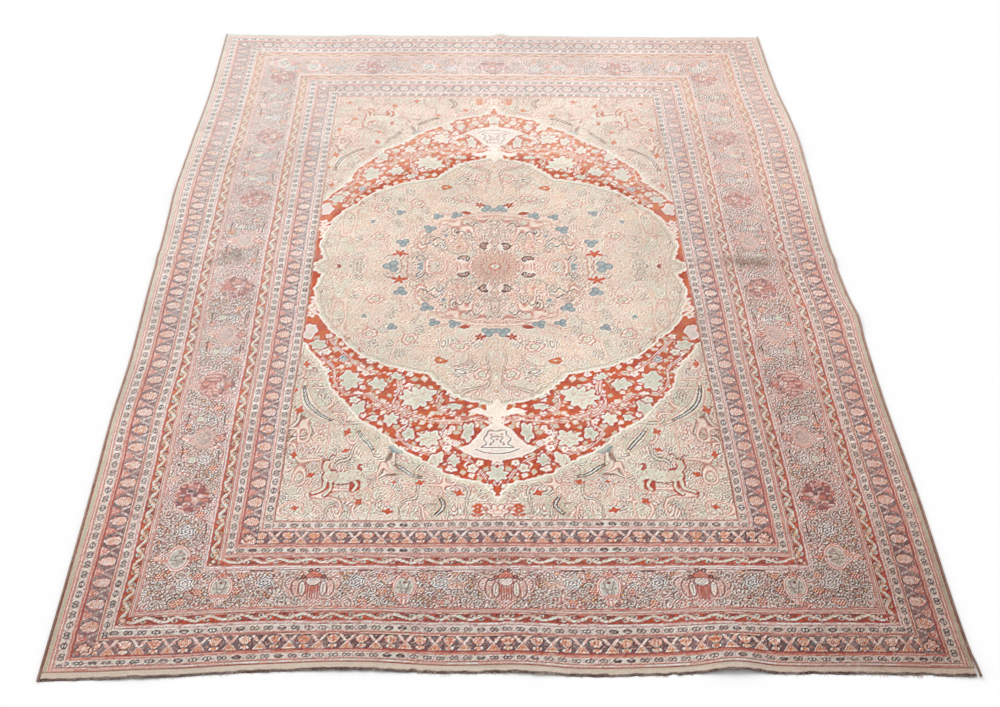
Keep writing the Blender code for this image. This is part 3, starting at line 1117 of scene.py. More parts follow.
@dataclass(frozen=True)
class Stretch:
    """A straight stretch of one border band. Each method gives the colour of all its knots."""

    band: Band
    width: float
    across: Array  # how far each knot is from the band's outer edge
    along: Array  # its place along the band

    @property
    def side(self) -> bool:
        """Whether the stretch runs along a side of the rug, and not across an end."""
        return self.along.shape[0] > 1

    def lines(self) -> Array:
        """Plain stripes along the band, each between two shares of its width.

        Returns:
            The colour of each knot.
        """
        across, along, width = self.across, self.along, self.width
        colour = np.zeros((*np.broadcast(across, along).shape, 3), np.float32) + self.band.stripes[0][2].rgb
        broken = 0.68 + 0.38 * cloud(across * 2, along, 0.007, 41) + 0.16 * cloud(across * 0, along, 0.06, 39)
        flecks = cloud(across, along, 0.0045, 42)
        colour = layered(
            colour,
            (0.5 * (flecks > 0.5), LILAC),
            (0.4 * (flecks < -0.5), MINT),
        )
        for low, high, dye in self.band.stripes[1:]:
            inside = soft((high - low) * width / 2 - np.abs(across - (low + high) / 2 * width))
            colour = over(colour, inside * broken, dye)
        return colour

    def figures(self) -> Array:
        """A lilac-white guard with a small dark barred ring, or two joined rings, at every repeat.

        A ring's line is the knots whose distance from its middle, each axis taken
        over the ring's own half size, is near 1.

        Returns:
            The colour of each knot.
        """
        across, along, width = self.across, self.along, self.width
        at, number = repeat(along + 0.006 * np.sin(along * 3.1), 0.0376)
        tall = across - width / 2 + 0 * along
        at = at + 0 * across
        lot = chance(number, 0.3)
        round_ = np.hypot(at / 0.0104, tall / (0.26 * width))
        ring = np.abs(round_ - 1) * 0.0085
        twin = np.hypot((np.abs(at) - 0.0058) / 0.0052, tall / (0.24 * width))
        twin = np.minimum(np.abs(twin - 1), twin + 0.1) * 0.0054
        bar = np.where(lot < 0.7, np.abs(at), np.abs(tall)) + (round_ > 1)
        line = np.where(lot < 0.55, twin, np.minimum(ring, bar))
        deep = (0.55 + 0.45 * chance(number, 1.7)) * (0.9 + 0.25 * cloud(across, along, 0.02, 40))
        dirt = 0.26 + 0.24 * cloud(across * 0, along, 0.05, 43)
        colour = between(PALE, TAN, dirt) + np.zeros((*tall.shape, 1))
        fine = cloud(across, along, 0.0045, 44)
        colour = layered(
            colour,
            (0.6 * (fine > 0.4), LILAC),
            (0.5 * (fine < -0.4), MINT),
            (soft(0.003 - line) * 0.4 * deep, SLATE),
            (soft(0.00165 - line) * deep, INK),
        )
        edge = np.minimum(across, width - across)
        dotted = 0.55 + 0.45 * (np.sin(along * 2 * math.pi / 0.0085) > 0)
        return over(colour, soft(0.0021 - edge) * dotted * 0.85, ROSE)

    def tulips(self) -> Array:
        """The dusky guard: a checked orange flower at every repeat, and a waisted pale stem between two.

        The flower's half width and the stem's run through short tables of the
        share of the band's width. The stem's arms open as a V over a small tent.

        Returns:
            The colour of each knot.
        """
        across, along, width = self.across, self.along, self.width
        pitch = 0.0812
        at, number = repeat(along, pitch)
        off, count = repeat(along - pitch / 2, pitch)
        t = across / width + 0 * along
        tone = unit(0.5 + 0.9 * cloud(across * 0, along, 0.13, 45))
        fine = cloud(across, along, 0.0048, 46)
        colour = between(NAVY, LILAC, 0.15 + 0.1 * self.side + 0.6 * tone) + np.zeros((*t.shape, 1))
        colour = layered(
            colour,
            ((0.5 if self.side else 0.32) * (cloud(across * 0, along, 0.07, 44) > 0.35) * (t > 0.4), BLUE),
            (0.5 * (fine > 0.4), PINK),
            (0.6 * (fine < -0.4), MAROON),
        )
        sides = 0.0035 + unit(t - 0.52) * width * 0.62
        arms = 0.0062 + 0.0022 * fine - np.abs(np.abs(off) - sides) + np.clip(0.48 - t, -0.05, 0.0) * 0.02
        arms = np.where(t > 0.54, arms, -1.0)
        tent = np.where(t < 0.52, 0.0034 + (0.52 - t) * width * 0.62 - np.abs(off), -1.0) * (t > 0.06)
        share = unit(0.2 + 0.3 * self.side + 0.5 * chance(count, 3.0) + 0.9 * fine)
        pale = between(PALE, LILAC if self.side else PINK, share)
        first, second = (PALE, ROSE) if self.side else (CREAM, PINK)
        warm = between(first, second, unit(0.2 + chance(count, 4.0) + fine))
        colour = layered(
            colour,
            (soft(arms) * (t < 0.95), pale),
            (soft(tent - 0.0005) * (t > 0.06), warm),
            (soft(tent - 0.008) * (t > 0.1) * 0.7, PINK if self.side else PEACH),
        )
        inner = np.abs(tent - 0.0058)
        colour = layered(
            colour,
            (soft(0.0013 - inner) * (t > 0.1) * (t < 0.4) * 0.85, BRICK),
            (soft(0.0022 - np.abs(off)) * (t > 0.12) * (t < 0.26) * 0.8, MADDER),
        )
        shares = (0.05, 0.1, 0.17, 0.25, 0.33, 0.46, 0.62, 0.78, 0.88, 0.96)
        tall = (0.0, 0.007, 0.016, 0.013, 0.0055, 0.011, 0.0185, 0.019, 0.009, 0.0)
        round_ = (0.0, 0.006, 0.01, 0.013, 0.016, 0.019, 0.02, 0.017, 0.012, 0.0)
        half = np.interp(t, shares, round_ if self.side else tall)
        petal = np.abs(np.sin(t * 13.5 + 0.6)) * np.where(half > 0.008, 1.0, 0.0)
        body = half * (0.9 + 0.14 * chance(number, 2.0)) + 0.002 * fine + 0.0034 * (petal - 0.7) - np.abs(at)
        share = unit((0.1 if self.side else 0.3) + 0.6 * chance(number, 1.0) + 0.7 * fine)
        warm = between(first, PEACH, share)
        checks = np.sin((at + across) * 620 + number) * np.sin((at - across) * 620)
        colour = layered(
            colour,
            (soft(body + 0.003) * (0.5 if self.side else 1.0), INK),
            (soft(body), between(first, second, unit(0.4 + fine))),
        )
        tie = soft(0.0014 - np.abs(t - 0.36) * width)
        ribs = unit(3 * np.cos(2 * math.pi * np.arctan2(at, (t - 0.3) * width + 0.004) / 0.62) - 0.6)
        return layered(
            colour,
            (soft(body - 0.001) * ribs * (t > 0.3) * 0.8, ROSE),
            (soft(body - 0.0048), warm),
            (soft(body - 0.0052) * unit(4 * checks - 0.4) * (0.6 if self.side else 0.9), BRICK),
            (soft(body - 0.006) * unit(-4 * checks - 1.4) * (t > 0.4) * 0.9, CREAM),
            (tie * (np.abs(at) < 0.012) * (0.0 if self.side else 0.8), INK),
            (soft(0.0028 - (width - across)) * 0.9, INK),
            (soft(0.0032 - across) * 0.9, BRICK),
        )

    def meander(self) -> Array:
        """A pale green running wave, with a red hump in every bend and a pale bud curled into each hump.

        The wave's middle is at 1/2 + sin(p + sin(p)/6)/4 of the width, which rises
        a little more steeply than it falls. The pattern is its own half turn about the points
        where p is nought, so what lies over the wave reads what lies under it.

        Returns:
            The colour of each knot.
        """
        across, along, width = self.across, self.along, self.width
        pitch = 0.068 if self.side else 0.0858
        t = across / width + 0 * along
        at, _ = repeat(-along, pitch)
        phase = 2 * math.pi * at / pitch + 0 * t
        lean = phase + 0.17 * np.sin(phase)
        slope = 0.24 * width * 2 * math.pi / pitch * np.cos(lean)
        off = (t - 0.5 - 0.24 * np.sin(lean)) * width / np.hypot(1, slope)
        fire = cloud(across, along, 0.0055, 49)
        tone = cloud(across * 0, along, 0.09, 48)
        pale = unit(0.35 + 0.8 * tone + 0.5 * fire)
        colour = between(PALE if self.side else CREAM, SAND, pale) + np.zeros((*t.shape, 1))
        colour = layered(
            colour,
            (0.6 * (fire < -0.35), MINT),
            (0.9 * (fire > 0.1), PEACH if self.side else PINK),
            (0.8 * soft(0.0012 - np.abs(off - 0.0014)), TAN),
        )
        under = off < 0
        p = np.where(under, at, -at)
        q = np.where(under, t, 1 - t) * width
        red = np.minimum(np.abs(off) - (0.0056 if self.side else 0.0057) + 0.001 * fire, q - 0.0022)
        p = np.where(p < -0.2 * pitch, p + pitch, p)
        curl = 0.002 - np.abs(np.hypot((p - 0.13 * pitch) / 1.3, q - 0.35 * width) - 0.005)
        red = np.minimum(red, -curl - 0.0003)
        dye = between(MAROON, MADDER, np.clip(0.42 + 0.6 * fire + 0.4 * tone + 0.25 * under, 0, 1.1))
        colour = layered(
            colour,
            (soft(red + 0.0012) * 0.75, BROWN),
            (soft(red - 0.0002), dye),
        )
        strokes = np.abs(p - 0.34 * pitch - 0.8 * (q - 0.008))
        colour = over(colour, soft(0.0016 - strokes) * soft(red) * 0.9, INK)
        spot = 0.0024 - np.hypot(p - 0.14 * pitch, q - 0.35 * width)
        colour = over(colour, soft(spot), BROWN)
        edge = np.minimum(across, width - across)
        return over(colour, soft(0.0022 - edge) * 0.85, BRICK)

    def main(self) -> Array:
        """The main border's ground, which its flowers are drawn on afterwards.

        Returns:
            The colour of each knot.
        """
        across, along = self.across, self.along
        tone = cloud(across, along, 0.05, 49)
        x, y = np.broadcast_arrays(across, along)
        tints = (BROWN, MAROON, INK, BROWN, BRICK, SLATE, MAROON, ORANGE)
        ground = between(CREAM, PINK, (0.6 if self.side else 0.78) + 0.4 * tone)
        ground = over(ground, 0.55 * unit(3 * cloud(x, y, 0.06, 55) - 0.6), SAND)
        light = PALE if self.side else CREAM
        ground = engraved(ground, x, y, (0.026, 52), tints, 0.95, light)
        return engraved(ground, x, y, (0.019, 53), (BROWN, MAROON), 0.5, light)

    def paint(self) -> Array:
        """Paint the band's own kind.

        Returns:
            The colour of each knot.
        """
        painters = {
            Kind.FIGURES: self.figures,
            Kind.TULIPS: self.tulips,
            Kind.MEANDER: self.meander,
            Kind.MAIN: self.main,
        }
        return painters.get(self.band.kind, self.lines)()


# Each band kind's share and dye of the paling towards the far end, partly real fading and partly painted
# sheen.
FADE_AND_SHEEN_PALING = {
    Kind.MEANDER: (0.45, PEACH),
    Kind.LINES: (0.35, PINK),
    Kind.TULIPS: (0.3, LILAC),
    Kind.MAIN: (0.3, PINK),
}


class Half(Chart):
    """The left half of the whole pattern, which the right half mirrors."""

    past_middle = 0.03

    def __init__(self, middle: Chart) -> None:
        """Paint everything on the left half.

        Args:
            middle: the quarter of the field.
        """
        super().__init__((-HALF_W, -HALF_L), (self.past_middle, HALF_L), TAN)
        at = self.window((-0.705, -1.31), (self.past_middle, 1.31))
        x, y = np.broadcast_arrays(self.x[:, at[1]], self.y[at[0]])
        self.rgb[at] = middle.read(np.abs(x), np.abs(y))
        for band in BANDS:
            self.paint_band(band)
        self.draw_main()
        self.draw_corners()

    def paint_band(self, band: Band) -> None:
        """Paint one band down the side and across both ends.

        A side band runs out to the outer edge of its end band, and the end band
        stops beside it.

        Args:
            band: the band.
        """
        outer, inner = band.side
        at = self.window((-HALF_W + outer, -HALF_L + band.end[0]), (-HALF_W + inner, HALF_L - band.end[0]))
        across = self.x[:, at[1]] + HALF_W - band.side[0]
        self.rgb[at] = Stretch(band, band.side[1] - band.side[0], across, self.y[at[0]]).paint()
        self.pale_by_fade_and_sheen(band, at)
        width = band.end[1] - band.end[0]
        for end in (-1, 1):
            ys = sorted((end * (HALF_L - band.end[0]), end * (HALF_L - band.end[1])))
            at = self.window((-HALF_W + band.side[1], ys[0]), (0.03, ys[1]))
            across = HALF_L - band.end[0] - end * self.y[at[0]]
            along = np.abs(self.x[:, at[1]])
            self.rgb[at] = Stretch(band, width, across, along).paint()
            self.pale_by_fade_and_sheen(band, at)

    def pale_by_fade_and_sheen(self, band: Band, at: tuple[slice, slice]) -> None:
        """Pale some knots of a band towards its pale dye, more and more towards the far end: partly real
        fading, partly painted sheen.
        """
        share, dye = FADE_AND_SHEEN_PALING.get(band.kind, (0.0, PALE))
        self.lay(at, share * unit((self.y[at[0]] - 0.2) / 1.2), dye)

    def places(self, rng: np.random.Generator, pitch: float, inset: float) -> Array:
        """Scattered places in the main border, kept off its edges.

        Args:
            rng: the random numbers.
            pitch: distance between two places.
            inset: kept free at the border's edges.

        Returns:
            Their x and y.
        """
        main = next(band for band in BANDS if band.kind is Kind.MAIN)
        side, end = main.side, main.end
        spots = scatter(rng, (-HALF_W, -HALF_L), (0.03, HALF_L), pitch)
        a, b = spots[:, 0] + HALF_W, HALF_L - np.abs(spots[:, 1])
        in_side = (a > side[0] + inset) & (a < side[1] - inset) & (b > end[0] + inset)
        in_end = (b > end[0] + inset) & (b < end[1] - inset) & (a > side[0] + inset)
        return spots[in_side | in_end]

    def draw_stems(self) -> None:
        """Fill the main border with close ringed cells and curling stems edged in dark brown."""
        rng = np.random.default_rng(51)
        spots = self.places(rng, 0.017, 0.006)
        spots = spots[cloud(*(spots.T * 0.8), 0.05, 54) > 0.0]
        pick = rng.random(len(spots))
        self.trail(spots, 0.0136, BROWN, 0.92)
        for low, high, petal, heart in (
            (0.0, 0.32, CREAM, PINK), (0.32, 0.56, CREAM, ROSE), (0.56, 0.66, PEACH, IVORY),
            (0.66, 0.75, ORANGE, CREAM), (0.75, 0.85, PINK, MAROON), (0.85, 0.94, CREAM, SLATE),
            (0.94, 1.0, MINT, BROWN),
        ):
            some = spots[(pick >= low) & (pick < high)]
            self.trail(some, 0.0084, petal, 0.95)
            self.trail(some, 0.0034, heart, 0.9)
        lines = self.places(rng, 0.052, 0.016)
        start = rng.uniform(0, 2 * math.pi, len(lines))
        hand = np.where(rng.random(len(lines)) < 0.5, 1.0, -1.0)
        curls = spirals(lines, np.full(len(lines), 0.017), 0.8, start, hand)
        self.trail(curls, 0.0094, BROWN, 0.8)
        self.trail(curls, 0.004, CREAM, 0.85)

    def draw_palmette(self, x: float, y: float, size: float, turn: float, deep: float) -> None:
        """A large palmette: striped side lobes with pale panels, a red fan, a checked bud and a crown.

        With p along its axis and q across it, each part is an ellipse or a
        wedge, cut by stripes that are waves of q or of the angle round it.

        Args:
            x: its middle.
            y: its middle.
            size: half its height.
            turn: the direction of its crown, as an angle from the x axis.
            deep: how dark its wool is, from 0 to 1.
        """
        c, s = math.cos(turn), math.sin(turn)
        at, u, v = self.around(x, y, 1.25 * size)
        p, q = (u * c + v * s) / size, np.abs(v * c - u * s) / size
        rose = between(ROSE, MAROON, np.array(deep))

        def part(dp: float, dq: float, long: float, wide: float, gap: float = 0.0) -> Array:
            """Cover of an ellipse, from its middle and half sizes."""
            return soft((1 - np.hypot((p - dp) / long, (q - dq) / wide)) * min(long, wide) * size - gap)

        self.lay(at, part(0.02, 0.42, 0.66, 0.66) * 0.6, PINK)
        foot = soft((0.42 - np.abs(q) - 0.62 * np.abs(p + 0.62)) * size)
        self.lay(at, foot, CREAM)
        net = (np.sin(p * 36 + q * 36) > 0.2) | (np.sin(p * 36 - q * 36) > 0.2)
        self.lay(at, foot * net * 0.8, rose)
        fringe = np.sin(np.arctan2(p - 0.1, q - 0.62) * 22)
        for dp, dq, long, wide in ((0.22, 0.8, 0.34, 0.28), (0.0, 0.6, 0.5, 0.22)):
            self.lay(at, part(dp, dq, long + 0.1, wide + 0.1) * 0.8, CREAM)
            self.lay(at, part(dp, dq, long + 0.06, wide + 0.06), MAROON)
            self.lay(at, part(dp, dq, long, wide), CREAM)
            self.lay(at, part(dp, dq, long, wide) * (fringe > 0.0) * (0.7 + 0.3 * deep), rose)
        self.lay(at, part(-0.06, 0.42, 0.44, 0.17), MAROON)
        self.lay(at, part(-0.06, 0.42, 0.38, 0.11), between(IVORY, PINK, np.array(deep)))
        spine = soft((0.022 - np.abs(q - 0.42)) * size) * (np.abs(p + 0.06) < 0.26)
        self.lay(at, spine * (np.sin(p * 50) > -0.3) * 0.9, INK)
        fan = soft((0.26 - q) * size) * (p > -0.62) * (p < 0.22)
        self.lay(at, fan, PINK)
        self.lay(at, fan * (np.sin(q * 62 + 1.6) > -0.2 - 0.5 * deep), BRICK)
        self.lay(at, part(0.38, 0, 0.28, 0.32), MAROON)
        self.lay(at, part(0.38, 0, 0.23, 0.27), IVORY)
        checks = (np.sin(p * 40) * np.sin(q * 40 + 1.6) > 0.1) * part(0.38, 0, 0.2, 0.24)
        self.lay(at, checks * 0.75, LILAC)
        crown = np.minimum(p - 0.6, 0.62 * (0.98 - p) * 1.7 - q) * size * 0.8
        self.lay(at, soft(crown + 0.003), MAROON)
        self.lay(at, soft(crown), MADDER)
        self.lay(at, soft(crown) * (np.sin(q * 60 + p * 30) > 0.2) * 0.7, PINK)
        for dp, dq, reach in ((0.98, 0.14, 0.1), (0.6, 0.4, 0.11), (0.48, 0.62, 0.09)):
            ring = np.abs(np.hypot(p - dp, q - dq) - 0.8 * reach)
            self.lay(at, soft((0.3 * reach - ring) * size), INK)
        seed = int(900 * (x + 3 * y)) % 983
        dusk = 0.5 + 0.5 * cloud(u, v, 0.012, seed)
        shade = part(0.12 + 0.1 * dusk, 0.0, 0.86, 0.98) * deep
        self.lay(at, shade * (0.35 + 0.45 * dusk), ROSE)
        veins = ((1, 0.0034, MAROON, 0.85), (2, 0.002, PALE, 0.6), (3, 0.002, NAVY, 0.7))
        for off, wide, dye, share in veins:
            line = np.abs(cloud(u, v, 0.019, seed + off)) * 0.015
            self.lay(at, shade * soft(wide - line) * share, dye)

    def draw_shield(self, x: float, y: float, turn: float, fresh: float = 1.0) -> None:
        """A grey-green shield blossom in a rosy frame, with a red rosette at its head and a striped foot.

        Args:
            x: its middle.
            y: its middle.
            turn: the direction of its head.
            fresh: how plainly its frame shows.
        """
        at, u, v = self.around(x, y, 0.085)
        c, s = math.cos(turn), math.sin(turn)
        p, q = u * c + v * s, np.abs(v * c - u * s)
        along, beside = (1.0, 0.68) if turn == 0.0 else (0.7, 1.0)
        inside = 0.027 - np.hypot(along * p, beside * q) + 0.0014 * cloud(u, v, 0.012, 57)
        for gap, dye in ((0.0085, ROSE), (0.006, CREAM), (0.0028, ROSE), (0.0, PALE), (-0.003, MIST)):
            self.lay(at, soft(inside + gap) * fresh, dye)
        self.lay(at, soft(inside - 0.004) * (0.35 + 0.4 * cloud(u, v, 0.008, 56)), LILAC)
        line = np.minimum(np.abs(q - 0.01 - 0.2 * p), np.abs(p + 0.01 - 0.5 * q))
        self.lay(at, soft(0.0013 - line) * soft(inside - 0.004) * 0.9 * fresh, SLATE)
        self.lay(at, soft(0.005 - np.hypot(p - 0.017, q)) * fresh, MAROON)
        self.bloom(x + 0.048 * c, y + 0.048 * s, 0.02, (MAROON, PINK, MADDER), 6, 0.5)
        net = (0.5 * (0.075 + p) + 0.004 - q) * (p < -0.026)
        self.lay(at, soft(net) * (p < -0.026) * (p > -0.068), CREAM)
        checks = (np.sin(p * 640) * np.sin(q * 640) > 0.0) & (p < -0.026) & (p > -0.048)
        self.lay(at, soft(net) * checks * 0.9, BRICK)
        stem = (np.sin(q * 1300 + 1.6) > 0) * soft(0.011 - q) * (p < -0.046) * (p > -0.07)
        self.lay(at, stem * 0.85, ROSE)

    def draw_nets(self, spots: Sequence[Point]) -> None:
        """Small orange blossoms of round cells with dark edges, one at each place.

        Args:
            spots: the blossoms' middles.
        """
        around = np.array([(math.cos(a), math.sin(a)) for a in np.arange(6) * math.pi / 3])
        middle = np.array(spots, float)
        cells = np.concatenate([middle[:, None, :] + 0.0086 * around, middle[:, None, :]], axis=1)
        self.trail(cells, 0.0112, BRICK, 0.9)
        self.trail(cells, 0.007, ORANGE)
        self.trail(cells, 0.0044, IVORY, 0.95)

    def draw_rosette(self, x: float, y: float, size: float, dyes: tuple[Dye, Dye]) -> None:
        """A round flower of dark lobed lines, one inside the other, on pale wool.

        Args:
            x: its middle.
            y: its middle.
            size: its radius.
            dyes: its scales and its lines.
        """
        at, u, v = self.around(x, y, size)
        r, a = np.hypot(u, v), np.arctan2(v, u)
        ring = np.cos(2 * math.pi * (r * (1 + 0.16 * np.cos(6 * a)) / 0.0098 + a / (2 * math.pi)))
        inside = soft(size * (0.9 + 0.1 * np.cos(6 * a)) - r)
        self.lay(at, inside * 0.7, PALE)
        self.lay(at, inside * unit(1.6 * ring), dyes[1])
        self.lay(at, inside * unit(-2 * ring - 1), dyes[0])

    def draw_main(self) -> None:
        """Set out the main border's palmettes, shields, rosettes, blossoms and dark dashes.

        The mirrored half repeats them at the other side.
        """
        self.draw_stems()
        dark, lilac = (PALE, INK), (IVORY, SLATE)
        rows = (1.467, 0.95, 0.465, -0.134, -0.676, -1.198)
        nets = [(-0.925, -1.275), (-1.005, 1.525), (-1.005, -1.525), (-0.93, 1.62), (-0.93, -1.62)]
        dashes = [((-0.898, -0.33), (-0.898, -0.26)), ((-0.899, -1.37), (-0.899, -1.31))]
        for far, near in zip(rows, rows[1:]):
            mid = (near + far) / 2
            self.draw_shield(-0.958, mid, 0.0, 0.32)
            self.draw_rosette(-0.948, mid + 0.09, 0.026, dark)
            self.draw_rosette(-0.95, mid - 0.096, 0.026, lilac)
            for dy in (-0.098, 0.092):
                self.trail((-0.984, mid + dy), 0.024, MINT, 0.75)
            away = ((-0.052, 0.058), (-0.05, -0.062), (0.05, -0.135), (0.03, 0.145))
            nets += [(-0.965 + dx, mid + dy) for dx, dy in away]
            dashes += [
                ((-0.906, mid + 0.06), (-0.904, mid + 0.115)),
                ((-1.022, mid + 0.06), (-1.02, mid + 0.12)),
                ((-0.904, mid - 0.11), (-0.906, mid - 0.06)),
                ((-1.018, mid - 0.095), (-1.02, mid - 0.03)),
            ]
        for k, y in enumerate(rows):
            self.draw_palmette(-0.968, y, 0.066, 0.0, (0.8, 0.7, 0.9, 0.9, 0.6, 1.0)[k])
        self.draw_rosette(-0.955, -1.345, 0.032, dark)
        self.draw_shield(-0.964, -1.452, 0.0)
        self.draw_shield(-0.964, 1.6, 0.0)
        for end in (-1, 1):
            y = end * 1.572
            for x in (-0.825, -0.295):
                self.draw_shield(x, y - end * 0.005, -end * math.pi / 2)
                near = ((-0.07, 0.048), (0.055, 0.048), (-0.062, -0.012), (0.045, -0.01))
                for dx, dy in (*near, (0.105, -0.052), (-0.12, -0.055)):
                    nets.append((x + dx, y - end * dy))
            for x in (-0.19, -0.435, -0.7, -0.93):
                self.draw_rosette(x, y - end * 0.022, 0.03, dark if x in (-0.7, -0.435) else lilac)
            for x in (-0.56, 0.0):
                self.draw_palmette(x, y, 0.072, -end * math.pi / 2, 0.15 if end < 0 else 0.9)
            for low, high in ((-0.745, -0.68), (-0.43, -0.385), (-0.23, -0.16)):
                dashes.append(((low, end * 1.503), (high, end * 1.503)))
        self.draw_nets(nets)
        for dash in dashes:
            self.trail(smooth_line(dash, 0.001), 0.0042, INK, 0.9)

    def draw_corners(self) -> None:
        """A flower where each meander and each tulip guard turns its corner."""
        for band in BANDS:
            if band.kind not in (Kind.MEANDER, Kind.TULIPS):
                continue
            size = 0.4 * (band.side[1] - band.side[0])
            for end in (-1, 1):
                x = -HALF_W + sum(band.side) / 2
                y = end * (HALF_L - sum(band.end) / 2)
                self.bloom(x, y, 0.9 * size, (INK, PINK, CREAM), 6, 0.3)
            if band.kind is Kind.TULIPS:
                self.draw_rings(HALF_L - sum(band.end) / 2, 0.42 * (band.end[1] - band.end[0]), band.side[1])

    def draw_rings(self, y: float, size: float, inset: float) -> None:
        """Dark rings round the flowers of a guard at the far end.

        Args:
            y: the guard's middle.
            size: a ring's radius.
            inset: where the guard starts, from the rug's side.
        """
        turn = np.linspace(0, 2 * math.pi, 90)
        ring = size * round_about(turn)
        for x in np.arange(0.0, HALF_W - inset - size, 0.0812):
            self.trail((-x, y), 1.9 * size, PALE, 0.5)
            shown = 0.32 + 0.28 * math.sin(57 * x + 31 * y)
            self.trail(ring * (1 + 0.06 * np.sin(4 * turn + 40 * x))[:, None] + (-x, y), 0.008, NAVY, shown)
            self.trail(ring * 0.3 + (-x, y), 0.006, (PEACH, LILAC)[round(x / 0.0812) % 2], 0.5)


# The wool's colour at any place.


FIELD_WIDTH = 0.7  # half sizes of the field, beyond which a place is in the borders
FIELD_LENGTH = 1.3
# Of each channel, in the field and in the borders: how the rug pales towards the far end, partly real fading
# and partly painted sheen.
LOSS = np.float32([[0.43, 0.38, 0.34], [0.49, 0.465, 0.455]])
FADE_AND_SHEEN_HAZE = np.float32([[111, 94, 83], [130, 125, 121]])
STAIN = np.float32([100, 74, 62])
# Painted shade on the right side of the rug, of each channel, at the near end, in the middle and at the far
# end.
PAINTED_SHADE = ((0.14, 0.04, 0.03), (0.19, 0.08, 0.06), (0.21, 0.09, 0.075))


def in_border(x: Array, y: Array) -> Array:
    """Whether places are in the borders."""
    return (np.abs(x) > FIELD_WIDTH) | (np.abs(y) > FIELD_LENGTH)


def faded_with_painted_light(rgb: Array, x: Array, y: Array) -> Array:
    """Pale the dyes more and more towards the far end, partly real sun fading and partly a painted sheen, and
    darken them on the right and at the near end with painted shade.

    With s growing evenly along the rug, each channel is scaled by 1 - s loss,
    and a haze times s is added, the haze being partly painted sheen. The round inner field pales less.

    Args:
        rgb: the dyes, of 255.
        x: places across the rug.
        y: places along it.

    Returns:
        The bleached colours.
    """
    # The far end pales: partly real fading, partly painted sheen; the round inner field pales less.
    far = y / CLOTH.length + 0.5
    rim = in_border(x, y)[..., None]
    core = unit((1.04 - np.hypot(x / 0.68, y / 0.78)) / 0.04)
    inner = np.clip((far - 0.2) / 0.53, -0.2, 1.1) * (1 - 0.75 * core)
    share = np.where(rim, np.minimum(1, 1.28 * far)[..., None], inner[..., None])
    loss = np.where(rim, LOSS[1], LOSS[0])
    sheen_and_fade_haze = np.where(rim, FADE_AND_SHEEN_HAZE[1], FADE_AND_SHEEN_HAZE[0])
    # Painted shade: darker on the right side, more so towards the far end, and darker again at the near end.
    shade = [np.interp(y, (-1.89, 0, 1.89), row) for row in PAINTED_SHADE]
    dusk = 1 - np.stack(shade, axis=-1) * unit((x - 0.5) / 0.5)[..., None]
    dusk = dusk * np.interp(y, (-1.62, -1.3), (0.935, 1.0))[..., None]
    return (rgb * (1 - loss * share) + sheen_and_fade_haze * share) * dusk


def linear(rgb: Array, wear: Array | float) -> Array:
    """Colours of 255 as linear light, with their wear as a fourth number."""
    light = (np.clip(rgb, 0, 255) / 255) ** 2.2
    return np.concatenate([light, np.broadcast_to(wear, light.shape[:2])[..., None]], axis=-1)


